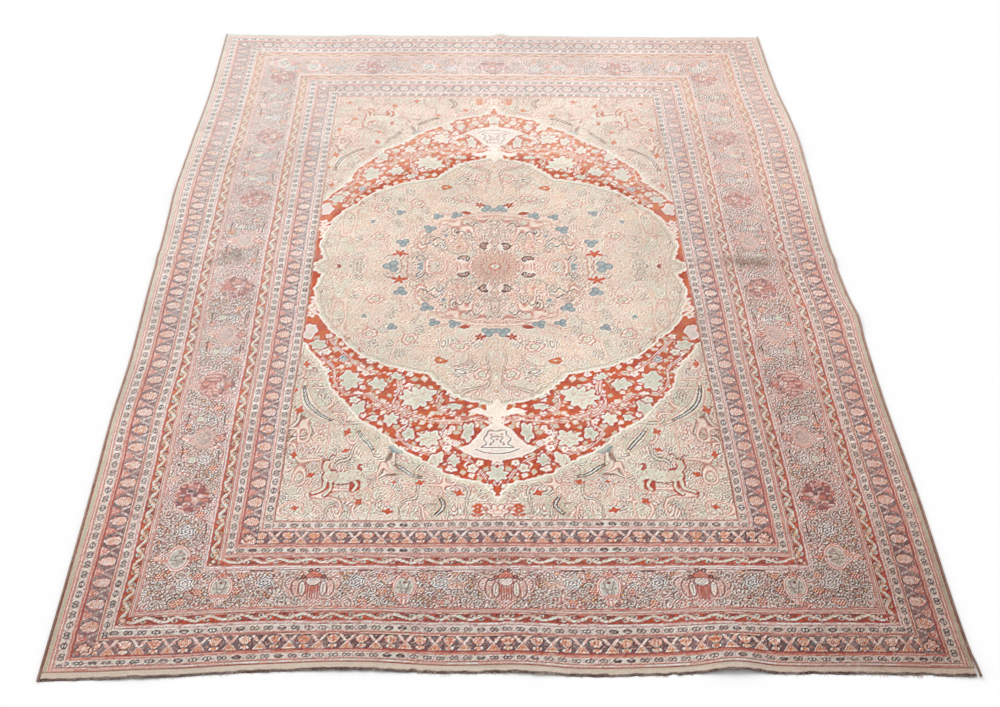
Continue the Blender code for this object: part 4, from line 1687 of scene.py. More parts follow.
@dataclass(frozen=True)
class Wool:
    """The pattern as it is woven and worn: mirrored, wavering, sun-faded with a painted sheen and painted
    shade, streaked and stained.
    """

    half: Chart
    crisp: float = 1.4
    stains: tuple = (
        (-0.985, 0.06, 0.052, 0.03, 0.52), (-0.96, 0.105, 0.04, 0.018, 0.3),
        (0.925, 0.03, 0.07, 0.03, 0.55), (0.985, 0.02, 0.035, 0.022, 0.4),
        (0.88, 0.055, 0.045, 0.018, 0.3), (-1.06, 0.02, 0.05, 0.014, 0.22),
    )

    def weave(self, x: Array, y: Array) -> tuple[Array, Array]:
        """Where on the left half's chart a place of the rug is read.

        Near the edges the pattern follows the uneven outline, and further in it
        keeps straight. The place wavers by a few millimetres of soft noise, its
        column is mirrored about a middle that drifts along the rug, and its row
        is moved a little, by straight lines of y.

        Args:
            x: place across the straight rug.
            y: place along it.

        Returns:
            The place on the chart.
        """
        edge = np.minimum(HALF_W - np.abs(x), HALF_L - np.abs(y))
        deep = unit(edge / 0.6)
        deep = deep * deep * (3 - 2 * deep)
        px, py = spread(x, y)
        u, v = x + deep * (1.002 * px - x), y + deep * (py - y)
        v = v + 0.0095 + 0.0017 * v - 0.014 * unit(1 - np.abs(v) / 1.3) - 0.012 * unit((v - 1.2) / 0.2)
        calm = unit(edge / 0.05)
        u = u + calm * (0.003 * cloud(x, y, 0.3, 61) + 0.0014 * cloud(x * 0.25, y, 0.022, 62))
        v = v + calm * (0.003 * cloud(x, y, 0.34, 63) + 0.0014 * cloud(x, y * 0.25, 0.03, 64))
        field_share = unit((1.52 - np.abs(y)) / 0.22)
        drift = field_share * (0.019 - 0.008 * y) + (1 - field_share) * 0.01
        return -np.abs(u + drift * unit(1 - np.abs(u) / FIELD_WIDTH)), v

    def wear(self, x: Array, y: Array) -> Array:
        """How worn the nap is, from 0 to 1: patches, old folds, and the rug's rims.

        Args:
            x: places across the rug.
            y: places along it.

        Returns:
            The wear at each.
        """
        patch = 0.5 + 0.5 * cloud(x, y, 0.23, 71) * cloud(x, y, 0.09, 72)
        fold = np.exp(-(((y - 0.055) / 0.028) ** 2)) * np.clip(np.abs(x) / 0.6, 0.3, 1)
        rim = np.exp(-(HALF_W - np.abs(x)) / 0.02) + np.exp(-(HALF_L - np.abs(y)) / 0.03)
        return unit(0.35 * patch + 0.55 * fold + 0.35 * rim)

    def read(self, x: Array, y: Array, across: Array, along: float) -> Array:
        """The colour and wear of cells of pile.

        Args:
            x: their middles across the straight rug.
            y: their middles along it.
            across: their widths.
            along: their length.

        Returns:
            Linear red, green, blue and the wear.
        """
        u, v = self.weave(x, y)
        steps = max(2, round(along / 0.0018))
        rgb = np.zeros((*u.shape, 3), np.float32)
        for dx in (-0.33, 0.0, 0.33):
            for dy in (np.arange(steps) + 0.5) / steps - 0.5:
                rgb += self.half.read(u + dx * across, v + dy * along)
        rgb = rgb / (3 * steps)
        padded = np.pad(rgb, ((1, 1), (1, 1), (0, 0)), mode="edge")
        around = padded[:-2, 1:-1] + padded[2:, 1:-1] + padded[1:-1, :-2] + padded[1:-1, 2:]
        more = 0.35 * np.clip(y + 0.9, 0, None) + 0.5 * unit(2 * x - 1)
        crisp = self.crisp - 0.2 * y + in_border(x, y) * 1.0 * more
        rgb = faded_with_painted_light(np.clip(rgb + crisp[..., None] * (rgb - around / 4), 20, 262), x, y)
        rows = 0.02 * cloud(x * 0.3, y, 0.045, 65) + 0.02 * cloud(x * 0.5, y, 0.011, 66)
        patch = 0.03 * cloud(x, y, 0.42, 67) + 0.022 * cloud(x, y, 0.1, 68)
        grain = np.random.default_rng(69).standard_normal((*u.shape, 2)).astype(np.float32)
        rgb = rgb * (1 + rows + patch + 0.028 * grain[..., 0])[..., None]
        rgb = rgb + grain[..., 1:] * np.float32([2.4, -2.0, -0.6])
        for sx, sy, wide, deep, strength in self.stains:
            blot = np.exp(-(((x - sx) / wide) ** 2) - ((y - sy) / deep) ** 2)
            blot = strength * blot * (0.75 + 0.35 * cloud(x, y, 0.018, 70) + 0.75 * cloud(x, y, 0.006, 74))
            rgb = over(rgb, unit(blot), STAIN)
        return linear(rgb, self.wear(x, y))


# Meshes.


class Mould:
    """Gathers the points and faces of one piece, then makes its object."""

    def __init__(self) -> None:
        """Start empty."""
        self.points: list[Array] = []
        self.colours: list[Array] = []
        self.faces: list[Array] = []
        self.maps: list[Array] = []
        self.smooth: list[Array] = []
        self.count = 0

    def add_points(self, points: Array, colours: Array) -> Array:
        """Add a grid of points.

        Args:
            points: any array whose last axis is x, y, z.
            colours: the same array with red, green, blue and wear.

        Returns:
            The points' numbers, in the grid's shape.
        """
        shape = points.shape[:-1]
        self.points.append(points.reshape(-1, 3))
        self.colours.append(np.broadcast_to(colours, (*shape, 4)).reshape(-1, 4))
        numbers = self.count + np.arange(int(np.prod(shape))).reshape(shape)
        self.count += numbers.size
        return numbers

    def add_faces(self, corners: Array, uv: Array, smooth: bool) -> None:
        """Add faces that all have the same number of corners.

        Args:
            corners: faces by corners.
            uv: faces by corners by 2.
            smooth: whether they are shaded smoothly.
        """
        self.faces.append(corners)
        self.maps.append(uv)
        self.smooth.append(np.full(len(corners), smooth))

    def add_grid(self, numbers: Array, u: Array, v: Array, smooth: bool = True) -> None:
        """Add the quads of a grid of numbered points.

        Args:
            numbers: rows by columns.
            u: texture place of each column, or of each point.
            v: texture place of each row, or of each point.
            smooth: whether they are shaded smoothly.
        """
        u, v = np.broadcast_arrays(np.atleast_2d(u), v if np.ndim(v) == 2 else np.asarray(v)[:, None])
        uv = np.stack([u, v], axis=-1)

        def ring(grid: Array) -> Array:
            """The four corners of each quad, going round it."""
            return np.stack([grid[:-1, :-1], grid[:-1, 1:], grid[1:, 1:], grid[1:, :-1]], axis=2)

        self.add_faces(ring(numbers).reshape(-1, 4), ring(uv).reshape(-1, 4, 2), smooth)

    def add_wall(self, fine: Array, coarse: Array, stride: int, lane: int) -> None:
        """Add a wall whose faces have stride + 1 points of a fine edge and two of a coarse one.

        Args:
            fine: the fine edge's points, with the wall's outside on their right.
            coarse: the coarse edge's points, every stride-th of them.
            stride: how many fine steps go with a coarse one.
            lane: which strip of the texture it has.
        """
        count = len(coarse) - 1
        steps = np.arange(stride, -1, -1)
        upper = fine[np.arange(count)[:, None] * stride + steps]
        lower = np.stack([coarse[:-1], coarse[1:]], axis=1)
        along = (np.arange(count)[:, None] + steps / stride) / count
        u = np.concatenate([along[:, -1:], along[:, :1], along], axis=1) * 0.996 + 0.002
        v = np.full(u.shape, 0.0075 * lane + 0.006)
        v[:, :2] = 0.0075 * lane + 0.001
        self.add_faces(np.concatenate([lower, upper], axis=1), np.stack([u, v], axis=-1), smooth=False)

    def add_slab(
        self, grid: tuple[Array, Array, Array], colours: Array, stride: int, dim: float, back: bool
    ) -> None:
        """Add a thin closed slab: a fine top, a coarser underside and four walls.

        Args:
            grid: x and y of the top's grid, the underside's height and the top's.
            colours: the top's colours and wear.
            stride: the underside takes every stride-th line of the grid.
            dim: the underside's colour as a share of the top's.
            back: whether the grid's rows run towards the near end.
        """
        place, low, high = grid
        every = np.s_[::stride, ::stride]
        top = self.add_points(np.concatenate([place, high[..., None]], axis=-1), colours)
        under = self.add_points(np.concatenate([place, low[..., None]], axis=-1)[every], colours[every] * dim)
        u = np.linspace(0.002, 0.998, top.shape[1])
        v = np.linspace(0.142, 0.998, top.shape[0])
        if back:
            top, under, v = top[::-1], under[::-1], v[::-1]
        self.add_grid(top, u, v)
        self.add_grid(under[:, ::-1], u[::stride][::-1], np.linspace(0.035, 0.13, len(under)), smooth=False)
        for lane, edge in enumerate((np.s_[0], np.s_[-1, ::-1], np.s_[::-1, 0], np.s_[:, -1])):
            self.add_wall(top[edge], under[edge], stride, lane)

    def add_threads(self, numbers: Array, turned: bool) -> None:
        """Add closed three-sided threads, each with its own small place in the texture.

        Args:
            numbers: threads by rings by their three points.
            turned: whether the points go round the other way.
        """
        count, rings, _ = numbers.shape
        columns = 25
        tall = 1 / math.ceil(count / columns)
        at = np.arange(count)
        u0, v0 = (at % columns) / columns, (at // columns) / math.ceil(count / columns)
        way = -1 if turned else 1
        steps = np.arange(rings - 1)[None, :, None] + np.array([0, 0, 1, 1])
        for k in range(3):
            one, two = numbers[..., k], numbers[..., (k + 1) % 3]
            quads = np.stack([one[:, :-1], two[:, :-1], two[:, 1:], one[:, 1:]], axis=-1)
            u = u0[:, None, None] + (np.array([k, k + 1, k + 1, k]) * 0.3 + 0.03) / columns
            v = v0[:, None, None] + tall * (0.06 + 0.88 * steps / (rings - 1))
            uv = np.stack(np.broadcast_arrays(u, v), axis=-1)
            self.add_faces(quads[..., ::way].reshape(-1, 4), uv[:, :, ::way].reshape(-1, 4, 2), smooth=True)
        caps = np.concatenate([numbers[:, 0, ::-1], numbers[:, -1, :]])
        spot = np.stack([np.tile(u0, 2), np.tile(v0, 2)], axis=-1)[:, None, :]
        spot = spot + np.array([[0.0, 0.0], [0.02, 0.0], [0.0, 0.04]]) * np.array([1 / columns, tall])
        self.add_faces(caps[:, ::way], spot, smooth=False)

    def make(self, name: str, node: str, finish: "Finish") -> bpy.types.Object:
        """Make the mesh and its object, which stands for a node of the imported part.

        Args:
            name: the piece's name.
            node: the node.
            finish: what it is made of.

        Returns:
            The object, at the origin.
        """
        mesh = bpy.data.meshes.new(name)
        points = np.concatenate(self.points).astype(np.float32)
        corners = np.concatenate([f.ravel() for f in self.faces]).astype(np.int32)
        sizes = np.concatenate([np.full(len(f), f.shape[1]) for f in self.faces])
        mesh.vertices.add(len(points))
        mesh.vertices.foreach_set("co", points.ravel())
        mesh.loops.add(len(corners))
        mesh.loops.foreach_set("vertex_index", corners)
        mesh.polygons.add(len(sizes))
        mesh.polygons.foreach_set("loop_start", (np.cumsum(sizes) - sizes).astype(np.int32))
        mesh.polygons.foreach_set("use_smooth", np.concatenate(self.smooth))
        uv = np.concatenate([m.reshape(-1, 2) for m in self.maps]).astype(np.float32)
        mesh.uv_layers.new(name="OFBake").data.foreach_set("uv", uv.ravel())
        dye_and_painted_light = mesh.attributes.new("dye_and_painted_light", "FLOAT_COLOR", "POINT")
        dye_and_painted_light.data.foreach_set("color", np.concatenate(self.colours).astype(np.float32).ravel())
        mesh.update(calc_edges=True)
        mesh.validate()
        mesh.set_sharp_from_angle(angle=1.0)
        mesh.materials.append(finish.material())
        piece = bpy.data.objects.new(name, mesh)
        bpy.context.scene.collection.objects.link(piece)
        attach(piece, BODY)
        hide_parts(node)
        Log.info("%s: %d faces", name, len(sizes))
        return piece


@dataclass(frozen=True)
class PileCourse:
    """One course of the knotted pile, a thin closed slab right across the rug.

    The top is a fine grid of knots, and the underside takes every eighth line of it.
    """

    name: str
    near: float
    far: float
    columns: int
    rows: int
    stride: int = 8
    nap: float = 0.0003
    cockle: float = 0.0009

    def places(self) -> tuple[Array, Array]:
        """The columns and rows of the top, the columns closer together in the borders.

        Returns:
            The x of the columns and the y of the rows.
        """
        fine = np.linspace(-CLOTH.half_width, CLOTH.half_width, 4000)
        weight = np.cumsum(np.where(np.abs(fine) > 0.69, 1.0, 0.72))
        weight = (weight - weight[0]) / (weight[-1] - weight[0])
        columns = np.interp(np.linspace(0, 1, self.columns), weight, fine)
        return columns[None, :], np.linspace(self.near, self.far, self.rows)[:, None]

    def ground(self, x: Array, y: Array) -> Array:
        """Height of the underside: the folds, and faint cockles of soft noise.

        Args:
            x: places across the rug.
            y: places along it.

        Returns:
            The height at each.
        """
        cockle = self.cockle * unit(0.35 + cloud(x, y, 0.19, 81))
        edge = unit((HALF_W - np.abs(x)) / 0.06) * unit((HALF_L - np.abs(y)) / 0.06)
        return lift(x, y) + cockle * edge

    def build(self, wool: Wool, finish: "Finish") -> bpy.types.Object:
        """Make the slab and lay it out.

        The top stands the pile's thickness over the underside, less a squared
        fall to the worn rim, plus the nap's soft noise.

        Args:
            wool: the pattern.
            finish: the wool's finish.

        Returns:
            The piece.
        """
        x, y = self.places()
        colour = wool.read(*np.broadcast_arrays(x, y), np.gradient(x[0])[None, :], float(y[1, 0] - y[0, 0]))
        rim = np.minimum(
            np.minimum(x + CLOTH.half_width, CLOTH.half_width - x),
            np.minimum(y - CLOTH.pile_near, CLOTH.pile_far - y),
        )
        drop = CLOTH.rim_drop * unit(1 - rim / CLOTH.rim_width) ** 2
        nap = self.nap * (cloud(x, y, 0.0065, 82) + 0.7 * cloud(x, y, 0.021, 83)) * unit(rim / 0.006)
        low = self.ground(x, y)
        place = np.stack(np.broadcast_arrays(*spread(x, y)), axis=-1) + SHIFT
        mould = Mould()
        high = low + CLOTH.pile_thickness - drop + nap
        mould.add_slab((place, low, high), colour, self.stride, 0.9, back=False)
        return mould.make(self.name, "knotted_pile", finish)


@dataclass(frozen=True)
class Pile:
    """The whole pile, from the near end to the far one in courses of falling fineness."""

    lengths: tuple[float, ...] = (0.4, 0.49, 0.67, 0.92)
    columns: tuple[int, ...] = (849, 777, 697, 641, 561)
    rows: tuple[int, ...] = (97, 105, 121, 129, 145)

    @property
    def steps(self) -> list[float]:
        """Y of every course's near edge, and of the last one's far edge."""
        return [CLOTH.pile_near, *(CLOTH.pile_near + np.cumsum(self.lengths)), CLOTH.pile_far]

    def build(self, finish: "Finish") -> list[bpy.types.Object]:
        """Make every course.

        Args:
            finish: the wool's finish.

        Returns:
            The courses.
        """
        wool = Wool(Half(Field().chart()))
        Log.info("the pattern is charted")
        pieces = []
        for k, (near, far) in enumerate(zip(self.steps, self.steps[1:])):
            course = PileCourse(f"pile_course_{k + 1}", near, far, self.columns[k], self.rows[k])
            pieces.append(course.build(wool, finish))
        return pieces


@dataclass(frozen=True)
class SideCord:
    """A bundle of warps along one long side, wrapped close with wool."""

    name: str
    node: str
    side: int
    rings: int = 2362
    around: int = 8
    wrap: float = 0.0052
    # The wraps' dye, and the brown they turn towards: painted shade in the grooves between wraps, and real
    # darker patches.
    fresh: Dye = TAN
    dark: Dye = BROWN

    def build(self, finish: "Finish") -> bpy.types.Object:
        """Carry a rounded section along the side.

        The section is an ellipse whose radius is scaled by
        1 - 0.13 |sin(pi (place / wrap + angle / turn))|, so that the wraps lean.

        Args:
            finish: the overcasting's finish.

        Returns:
            The piece.
        """
        y = np.linspace(-HALF_L, HALF_L, self.rings)[:, None]
        angle = np.linspace(0, 2 * math.pi, self.around + 1)[None, :-1]
        inner = np.full_like(y, self.side * (CLOTH.half_width + CLOTH.gap))
        place_x, place_y = spread(inner, y)
        if self.side > 0:
            place_x = place_x + np.interp(y, *np.array(CORD_STEP).T)
        lean = angle / (2 * math.pi)
        groove = np.abs(np.sin(math.pi * (y / self.wrap + lean)))
        size = 0.97 - 0.16 * (1 - groove) ** 2 + 0.03 * cloud(y * 0, y, 0.06, 84)
        size = np.minimum(size, 1.0)
        out = CLOTH.cord_width / 2 * (1 + size * np.cos(angle))
        up = CLOTH.cord_height / 2 * (1 + size * np.sin(angle))
        ground = lift(inner, y)
        place_x = place_x + self.side * out + SHIFT[0]
        place_y = place_y + 0 * out + SHIFT[1]
        points = np.stack([place_x, place_y, np.maximum(ground + up, ground)], axis=-1)
        tone = 0.5 + 0.5 * cloud(angle * 0.3, y, 0.045, 85 + self.side)
        # Painted shade: the wool turns towards the dark dye in the grooves between wraps; the soft tone adds
        # real darker patches.
        rgb = between(self.fresh, self.dark, unit(0.15 + 0.75 * (1 - groove) + 0.35 * tone * (tone > 0.6)))
        rgb = rgb * (1 + 0.06 * cloud(angle, y, 0.007, 88))[..., None]
        rgb = faded_with_painted_light(rgb, inner, np.broadcast_to(y, rgb.shape[:2]))
        mould = Mould()
        numbers = mould.add_points(points, linear(rgb, 0.3))
        closed = np.concatenate([numbers, numbers[:, :1]], axis=1)
        if self.side < 0:
            closed = closed[:, ::-1]
        lanes = 8
        share = (self.rings - 1) // lanes + 1
        for lane in range(lanes):
            part = closed[lane * share : min((lane + 1) * share + 1, self.rings)]
            u = (lane + 0.04 + 0.92 * np.linspace(0, 1, self.around + 1)) / lanes
            mould.add_grid(part[:, ::-1], u, np.linspace(0.01, 0.99, len(part)))
        for ring, way in ((closed[0, :-1], 1), (closed[-1, :-1], -1)):
            corners = ring[::way][None]
            turn = np.linspace(0, 2 * math.pi, self.around, endpoint=False)
            uv = np.stack([0.5 + 0.4 * np.cos(turn), 0.5 + 0.4 * np.sin(turn)], axis=-1) * 0.004
            mould.add_faces(corners, uv[None], smooth=False)
        return mould.make(self.name, self.node, finish)


@dataclass(frozen=True)
class WovenEnd:
    """The flat-woven strip beyond the pile at one end, with its loose warps."""

    name: str
    node: str
    end: int
    width: float
    warps: int
    longest: float
    ground: Dye = CREAM
    columns: int = 505
    rows: int = 13
    stride: int = 4

    def edge(self, x: Array) -> Array:
        """How much of the strip's width is left at each place, as a ragged share."""
        return unit(0.93 + 0.07 * cloud(x, x * 0, 0.012, 91) - 0.1 * (cloud(x, x * 0, 0.05, 92) > 0.45))

    def dye(self, x: Array, share: Array) -> Array:
        """The strip's colour: its ground and a dark outer edge, partly dirt and partly painted shadow.

        Args:
            x: place across.
            share: place from the pile, 0, to the outer edge, 1.

        Returns:
            Linear colour and wear.
        """
        rgb = between(self.ground, SAND, 0.7 + 0.3 * cloud(x, share, 0.16, 93))
        # The dark outer edge: partly dirt, partly painted shadow at the edge.
        dirt = 0.66 + 0.09 * cloud(x, share * 0, 0.02, 90)
        rgb = over(rgb, unit((share - dirt) / 0.1) * 0.92, INK)
        rgb = rgb * (1 + 0.06 * cloud(x, share * 0.05, 0.004, 95))[..., None]
        return linear(faded_with_painted_light(rgb, x, np.full(rgb.shape[:2], self.end * HALF_L)), 0.5)

    def build(self, finish: "Finish") -> list[bpy.types.Object]:
        """Make the strip and its loose warps.

        The strip is a thin closed slab with ribs along its wefts. Every warp is
        a three-sided tapering thread that sags to the floor.

        Args:
            finish: the cotton's finish.

        Returns:
            The strip and the warps.
        """
        start = CLOTH.pile_near - CLOTH.gap if self.end < 0 else CLOTH.pile_far + CLOTH.gap
        x = np.linspace(-CLOTH.half_width, CLOTH.half_width, self.columns)[None, :]
        share = np.linspace(0, 1, self.rows)[:, None]
        y = start + self.end * self.width * share * self.edge(x)
        low = lift(x, y)
        ribs = 0.00022 * np.sin(x * 2 * math.pi / 0.01) * np.sin(share * 40)
        ribs = ribs + 0.00025 * cloud(x, y, 0.006, 96)
        place = np.stack(np.broadcast_arrays(*spread(x, y)), axis=-1) + SHIFT
        thick = CLOTH.weave_thickness * (1 - 0.45 * share**3)
        colour = self.dye(*np.broadcast_arrays(x, share))
        mould = Mould()
        high = low + thick - 0.0003 + ribs
        mould.add_slab((place, low, high), colour, self.stride, 0.8, back=self.end < 0)
        return [mould.make(self.name, self.node, finish), self.build_warps(finish, start)]

    def build_warps(self, finish: "Finish", start: float) -> bpy.types.Object:
        """Make the loose warps.

        Each thread runs outward from the strip's edge for its length, wanders
        sideways by a sine, thins to a third, and falls to the floor.

        Args:
            finish: the cotton's finish.
            start: where the strip starts.

        Returns:
            The piece.
        """
        rng = np.random.default_rng(97 + self.end)
        root = np.sort(rng.uniform(-CLOTH.half_width + 0.004, CLOTH.half_width - 0.004, self.warps))[:, None]
        t = np.linspace(0, 1, 5)[None, :]
        bunch = np.clip(0.5 + 0.9 * cloud(root, root * 0, 0.07, 98), 0.12, 1)
        long = bunch * rng.uniform(0.35, 1.0, root.shape) * self.longest
        lean = rng.uniform(-0.5, 0.5, root.shape) + 0.5 * cloud(root, root * 0, 0.05, 99)
        x = root + long * lean * t**1.5 + 0.0005 * np.sin(5 * t + 40 * root)
        y = start + self.end * (self.width * self.edge(root) - 0.002 + (long + 0.002) * t)
        radius = 0.00055 * (1 - 0.65 * t)
        ground = lift(root, y)
        height = ground + radius + (0.0012 + 0.0012 * rng.random(root.shape)) * (1 - t) ** 1.5
        px, py = spread(x, y)
        turn = np.array([math.pi / 2, math.pi * 7 / 6, math.pi * 11 / 6])
        points = np.stack(
            [
                px[..., None] + radius[..., None] * np.cos(turn) + SHIFT[0],
                py[..., None] + 0 * turn + SHIFT[1],
                height[..., None] + radius[..., None] * np.sin(turn),
            ],
            axis=-1,
        )
        tone = rng.random(root.shape)
        rgb = between(CREAM, SAND, tone)
        rgb = over(rgb, (rng.random(root.shape) < 0.25) * 0.7, BROWN)
        rgb = faded_with_painted_light(rgb, root, np.full(root.shape, self.end * HALF_L))
        mould = Mould()
        numbers = mould.add_points(points, linear(rgb, 0.3)[:, :, None, :])
        mould.add_threads(numbers, turned=self.end < 0)
        return mould.make(f"{self.name}_warps", self.node, finish)


# Finishes.

Socket = bpy.types.NodeSocket
Sockets = dict[str | int, object]
Labels = Sequence[tuple[str, str]]
NUMBER = "NodeSocketFloat"
PLACE = "NodeSocketVector"
COLOUR = "NodeSocketColor"
GROUP = "ShaderNodeGroup"


class Graph:
    """A node tree that is being filled."""

    def __init__(self, tree: bpy.types.NodeTree) -> None:
        """Start with a tree."""
        self.tree = tree

    def node(self, kind: str, sockets: Sockets | None = None, **settings: object) -> bpy.types.Node:
        """Add a node.

        Args:
            kind: its type.
            sockets: what each input is: a socket to link, or a value.
            settings: its own settings.

        Returns:
            The node.
        """
        node = self.tree.nodes.new(kind)
        for key, value in settings.items():
            setattr(node, key, value)
        for key, value in (sockets or {}).items():
            if isinstance(value, Socket):
                self.tree.links.new(value, node.inputs[key])
            else:
                node.inputs[key].default_value = value
        return node

    def math(self, operation: str, a: object, b: object, clamp: bool = False) -> Socket:
        """Add a sum, product or the like of two numbers, and return its result."""
        return self.node("ShaderNodeMath", {0: a, 1: b}, operation=operation, use_clamp=clamp).outputs[0]

    def noise(self, place: Socket, scale: tuple[float, float, float], detail: float) -> Socket:
        """Add flat noise at a place scaled by three numbers, and return its value.

        Args:
            place: the unscaled place.
            scale: its three factors.
            detail: octaves of the noise.

        Returns:
            The noise's value.
        """
        scaled = self.node("ShaderNodeVectorMath", {0: place, 1: scale}, operation="MULTIPLY").outputs[0]
        sockets = {"Vector": scaled, "Scale": 1.0, "Detail": detail}
        return self.node("ShaderNodeTexNoise", sockets, noise_dimensions="2D").outputs[0]


class Group(Graph):
    """A node group with named inputs and outputs."""

    def __init__(self, name: str, inputs: Sequence[tuple[str, str, object]], outputs: Labels) -> None:
        """Make the group with its sockets.

        Args:
            name: its name.
            inputs: name, kind and starting value of each input.
            outputs: name and kind of each output.
        """
        super().__init__(bpy.data.node_groups.new(name, "ShaderNodeTree"))
        for label, kind, value in inputs:
            socket = self.tree.interface.new_socket(label, in_out="INPUT", socket_type=kind)
            if value is not None:
                socket.default_value = value
        for label, kind in outputs:
            self.tree.interface.new_socket(label, in_out="OUTPUT", socket_type=kind)
        self.given = self.node("NodeGroupInput").outputs
        self.result = self.node("NodeGroupOutput").inputs

    def give(self, **values: Socket) -> bpy.types.NodeTree:
        """Link the group's outputs, and return its tree.

        Args:
            values: the socket for each output, by its name.

        Returns:
            The finished group.
        """
        for label, value in values.items():
            self.tree.links.new(value, self.result[label])
        return self.tree


class Effects:
    """The node groups that the finishes share, each built once."""

    def __init__(self) -> None:
        """Build the three groups."""
        self.knots = self.build_knots()
        self.streaks = self.build_streaks()
        self.worn = self.build_worn()

    def build_knots(self) -> bpy.types.NodeTree:
        """Rows of knots or wraps: a height, and a number that differs from knot to knot.

        The place is divided by the two pitches, and the height falls with the
        distance from the nearest of a slightly disordered grid of points.

        Returns:
            The group.
        """
        numbers = (("Across", NUMBER, 0.002), ("Along", NUMBER, 0.002), ("Disorder", NUMBER, 0.5))
        g = Group("tufted_rows", (("Place", PLACE, None), *numbers), (("Height", NUMBER), ("Fleck", NUMBER)))
        axes = g.node("ShaderNodeSeparateXYZ", {0: g.given["Place"]}).outputs
        across = g.math("DIVIDE", axes[0], g.given["Across"])
        along = g.math("DIVIDE", axes[1], g.given["Along"])
        spot = g.node("ShaderNodeCombineXYZ", {0: across, 1: along}).outputs[0]
        sockets = {"Vector": spot, "Scale": 1.0, "Randomness": g.given["Disorder"]}
        cells = g.node("ShaderNodeTexVoronoi", sockets, voronoi_dimensions="2D").outputs
        height = g.math("SUBTRACT", 1.0, cells["Distance"], clamp=True)
        return g.give(Height=height, Fleck=g.node("ShaderNodeSeparateXYZ", {0: cells["Color"]}).outputs[0])

    def build_streaks(self) -> bpy.types.NodeTree:
        """Uneven dye: the colour scaled by long streaks across the rug and by each knot's own tone.

        Returns:
            The group.
        """
        numbers = (("Place", PLACE, None), ("Fleck", NUMBER, 0.5), ("Amount", NUMBER, 0.1))
        g = Group("uneven_dye", (("Color", COLOUR, None), *numbers), (("Color", COLOUR),))
        mixed = g.math("ADD", g.noise(g.given["Place"], (7.0, 260.0, 1.0), 2.0), g.given["Fleck"])
        swing = g.math("MULTIPLY", g.math("SUBTRACT", mixed, 1.0), g.given["Amount"])
        sockets = {0: g.given["Color"], "Scale": g.math("ADD", swing, 1.0)}
        return g.give(Color=g.node("ShaderNodeVectorMath", sockets, operation="SCALE").outputs[0])

    def build_worn(self) -> bpy.types.NodeTree:
        """Worn nap: pale foundation threads that show in short dashes where the wear is high.

        Returns:
            The group.
        """
        numbers = (("Wear", NUMBER, 0.3), ("Fleck", NUMBER, 0.5), ("Amount", NUMBER, 0.5))
        thread = ("Thread Color", COLOUR, (0.74, 0.66, 0.58, 1.0))
        g = Group(
            "bare_threads",
            (("Color", COLOUR, None), thread, ("Place", PLACE, None), *numbers),
            (("Color", COLOUR), ("Bare", NUMBER)),
        )
        dash = g.noise(g.given["Place"], (110.0, 520.0, 1.0), 1.0)
        patch = g.noise(g.given["Place"], (14.0, 22.0, 1.0), 3.0)
        level = g.math("ADD", g.math("MULTIPLY", dash, 0.9), g.math("MULTIPLY", patch, 0.8))
        for label, share in (("Fleck", 0.25), ("Wear", 0.5)):
            level = g.math("ADD", level, g.math("MULTIPLY", g.given[label], share))
        bare = g.math("MULTIPLY", g.math("SUBTRACT", level, 1.18), 4.0, clamp=True)
        share = g.math("MULTIPLY", bare, g.given["Amount"])
        sockets = {0: share, 6: g.given["Color"], 7: g.given["Thread Color"]}
        return g.give(Color=g.node("ShaderNodeMix", sockets, data_type="RGBA").outputs[2], Bare=bare)


@dataclass
class Finish:
    """A dry cloth finish: its knots or ribs, its unevenness and its wear."""

    name: str
    slot: str
    effects: Effects
    across: float
    along: float
    disorder: float
    depth: float
    bare: float
    uneven: float = 0.12
    roughness: float = 0.9
    sheen: float = 0.06
    made: bpy.types.Material | None = None

    def material(self) -> bpy.types.Material:
        """Build the material, once.

        Returns:
            The material, which takes its dye, painted light and wear from the piece's own attribute.
        """
        if self.made:
            return self.made
        self.made = bpy.data.materials.new(self.name)
        self.made.use_nodes = True
        g = Graph(self.made.node_tree)
        shader = g.tree.nodes["Principled BSDF"].inputs
        shader["Metallic"].default_value = 0.0
        shader["Sheen Weight"].default_value = self.sheen
        shader["Sheen Roughness"].default_value = 0.6
        shader["Specular IOR Level"].default_value = 0.25
        dye_and_painted_light = g.node("ShaderNodeAttribute", attribute_name="dye_and_painted_light").outputs
        spot = {"Place": g.node("ShaderNodeTexCoord").outputs["Object"]}
        sockets = {"Across": self.across, "Along": self.along, "Disorder": self.disorder} | spot
        knots = g.node(GROUP, sockets, node_tree=self.effects.knots).outputs
        spot["Fleck"] = knots["Fleck"]
        sockets = {"Color": dye_and_painted_light["Color"], "Amount": self.uneven} | spot
        dye = g.node(GROUP, sockets, node_tree=self.effects.streaks).outputs
        sockets = {"Color": dye["Color"], "Wear": dye_and_painted_light["Alpha"], "Amount": self.bare} | spot
        worn = g.node(GROUP, sockets, node_tree=self.effects.worn).outputs
        sockets = {"Value": spot["Fleck"], "To Min": self.roughness - 0.05, "To Max": self.roughness + 0.05}
        rough = g.node("ShaderNodeMapRange", sockets).outputs[0]
        height = g.math("SUBTRACT", knots["Height"], g.math("MULTIPLY", worn["Bare"], 0.5))
        sockets = {"Height": height, "Strength": 0.6, "Distance": self.depth}
        bump = g.node("ShaderNodeBump", sockets).outputs[0]
        for label, value in (("Base Color", worn["Color"]), ("Roughness", rough), ("Normal", bump)):
            g.tree.links.new(value, shader[label])
        return self.made


# The studio.


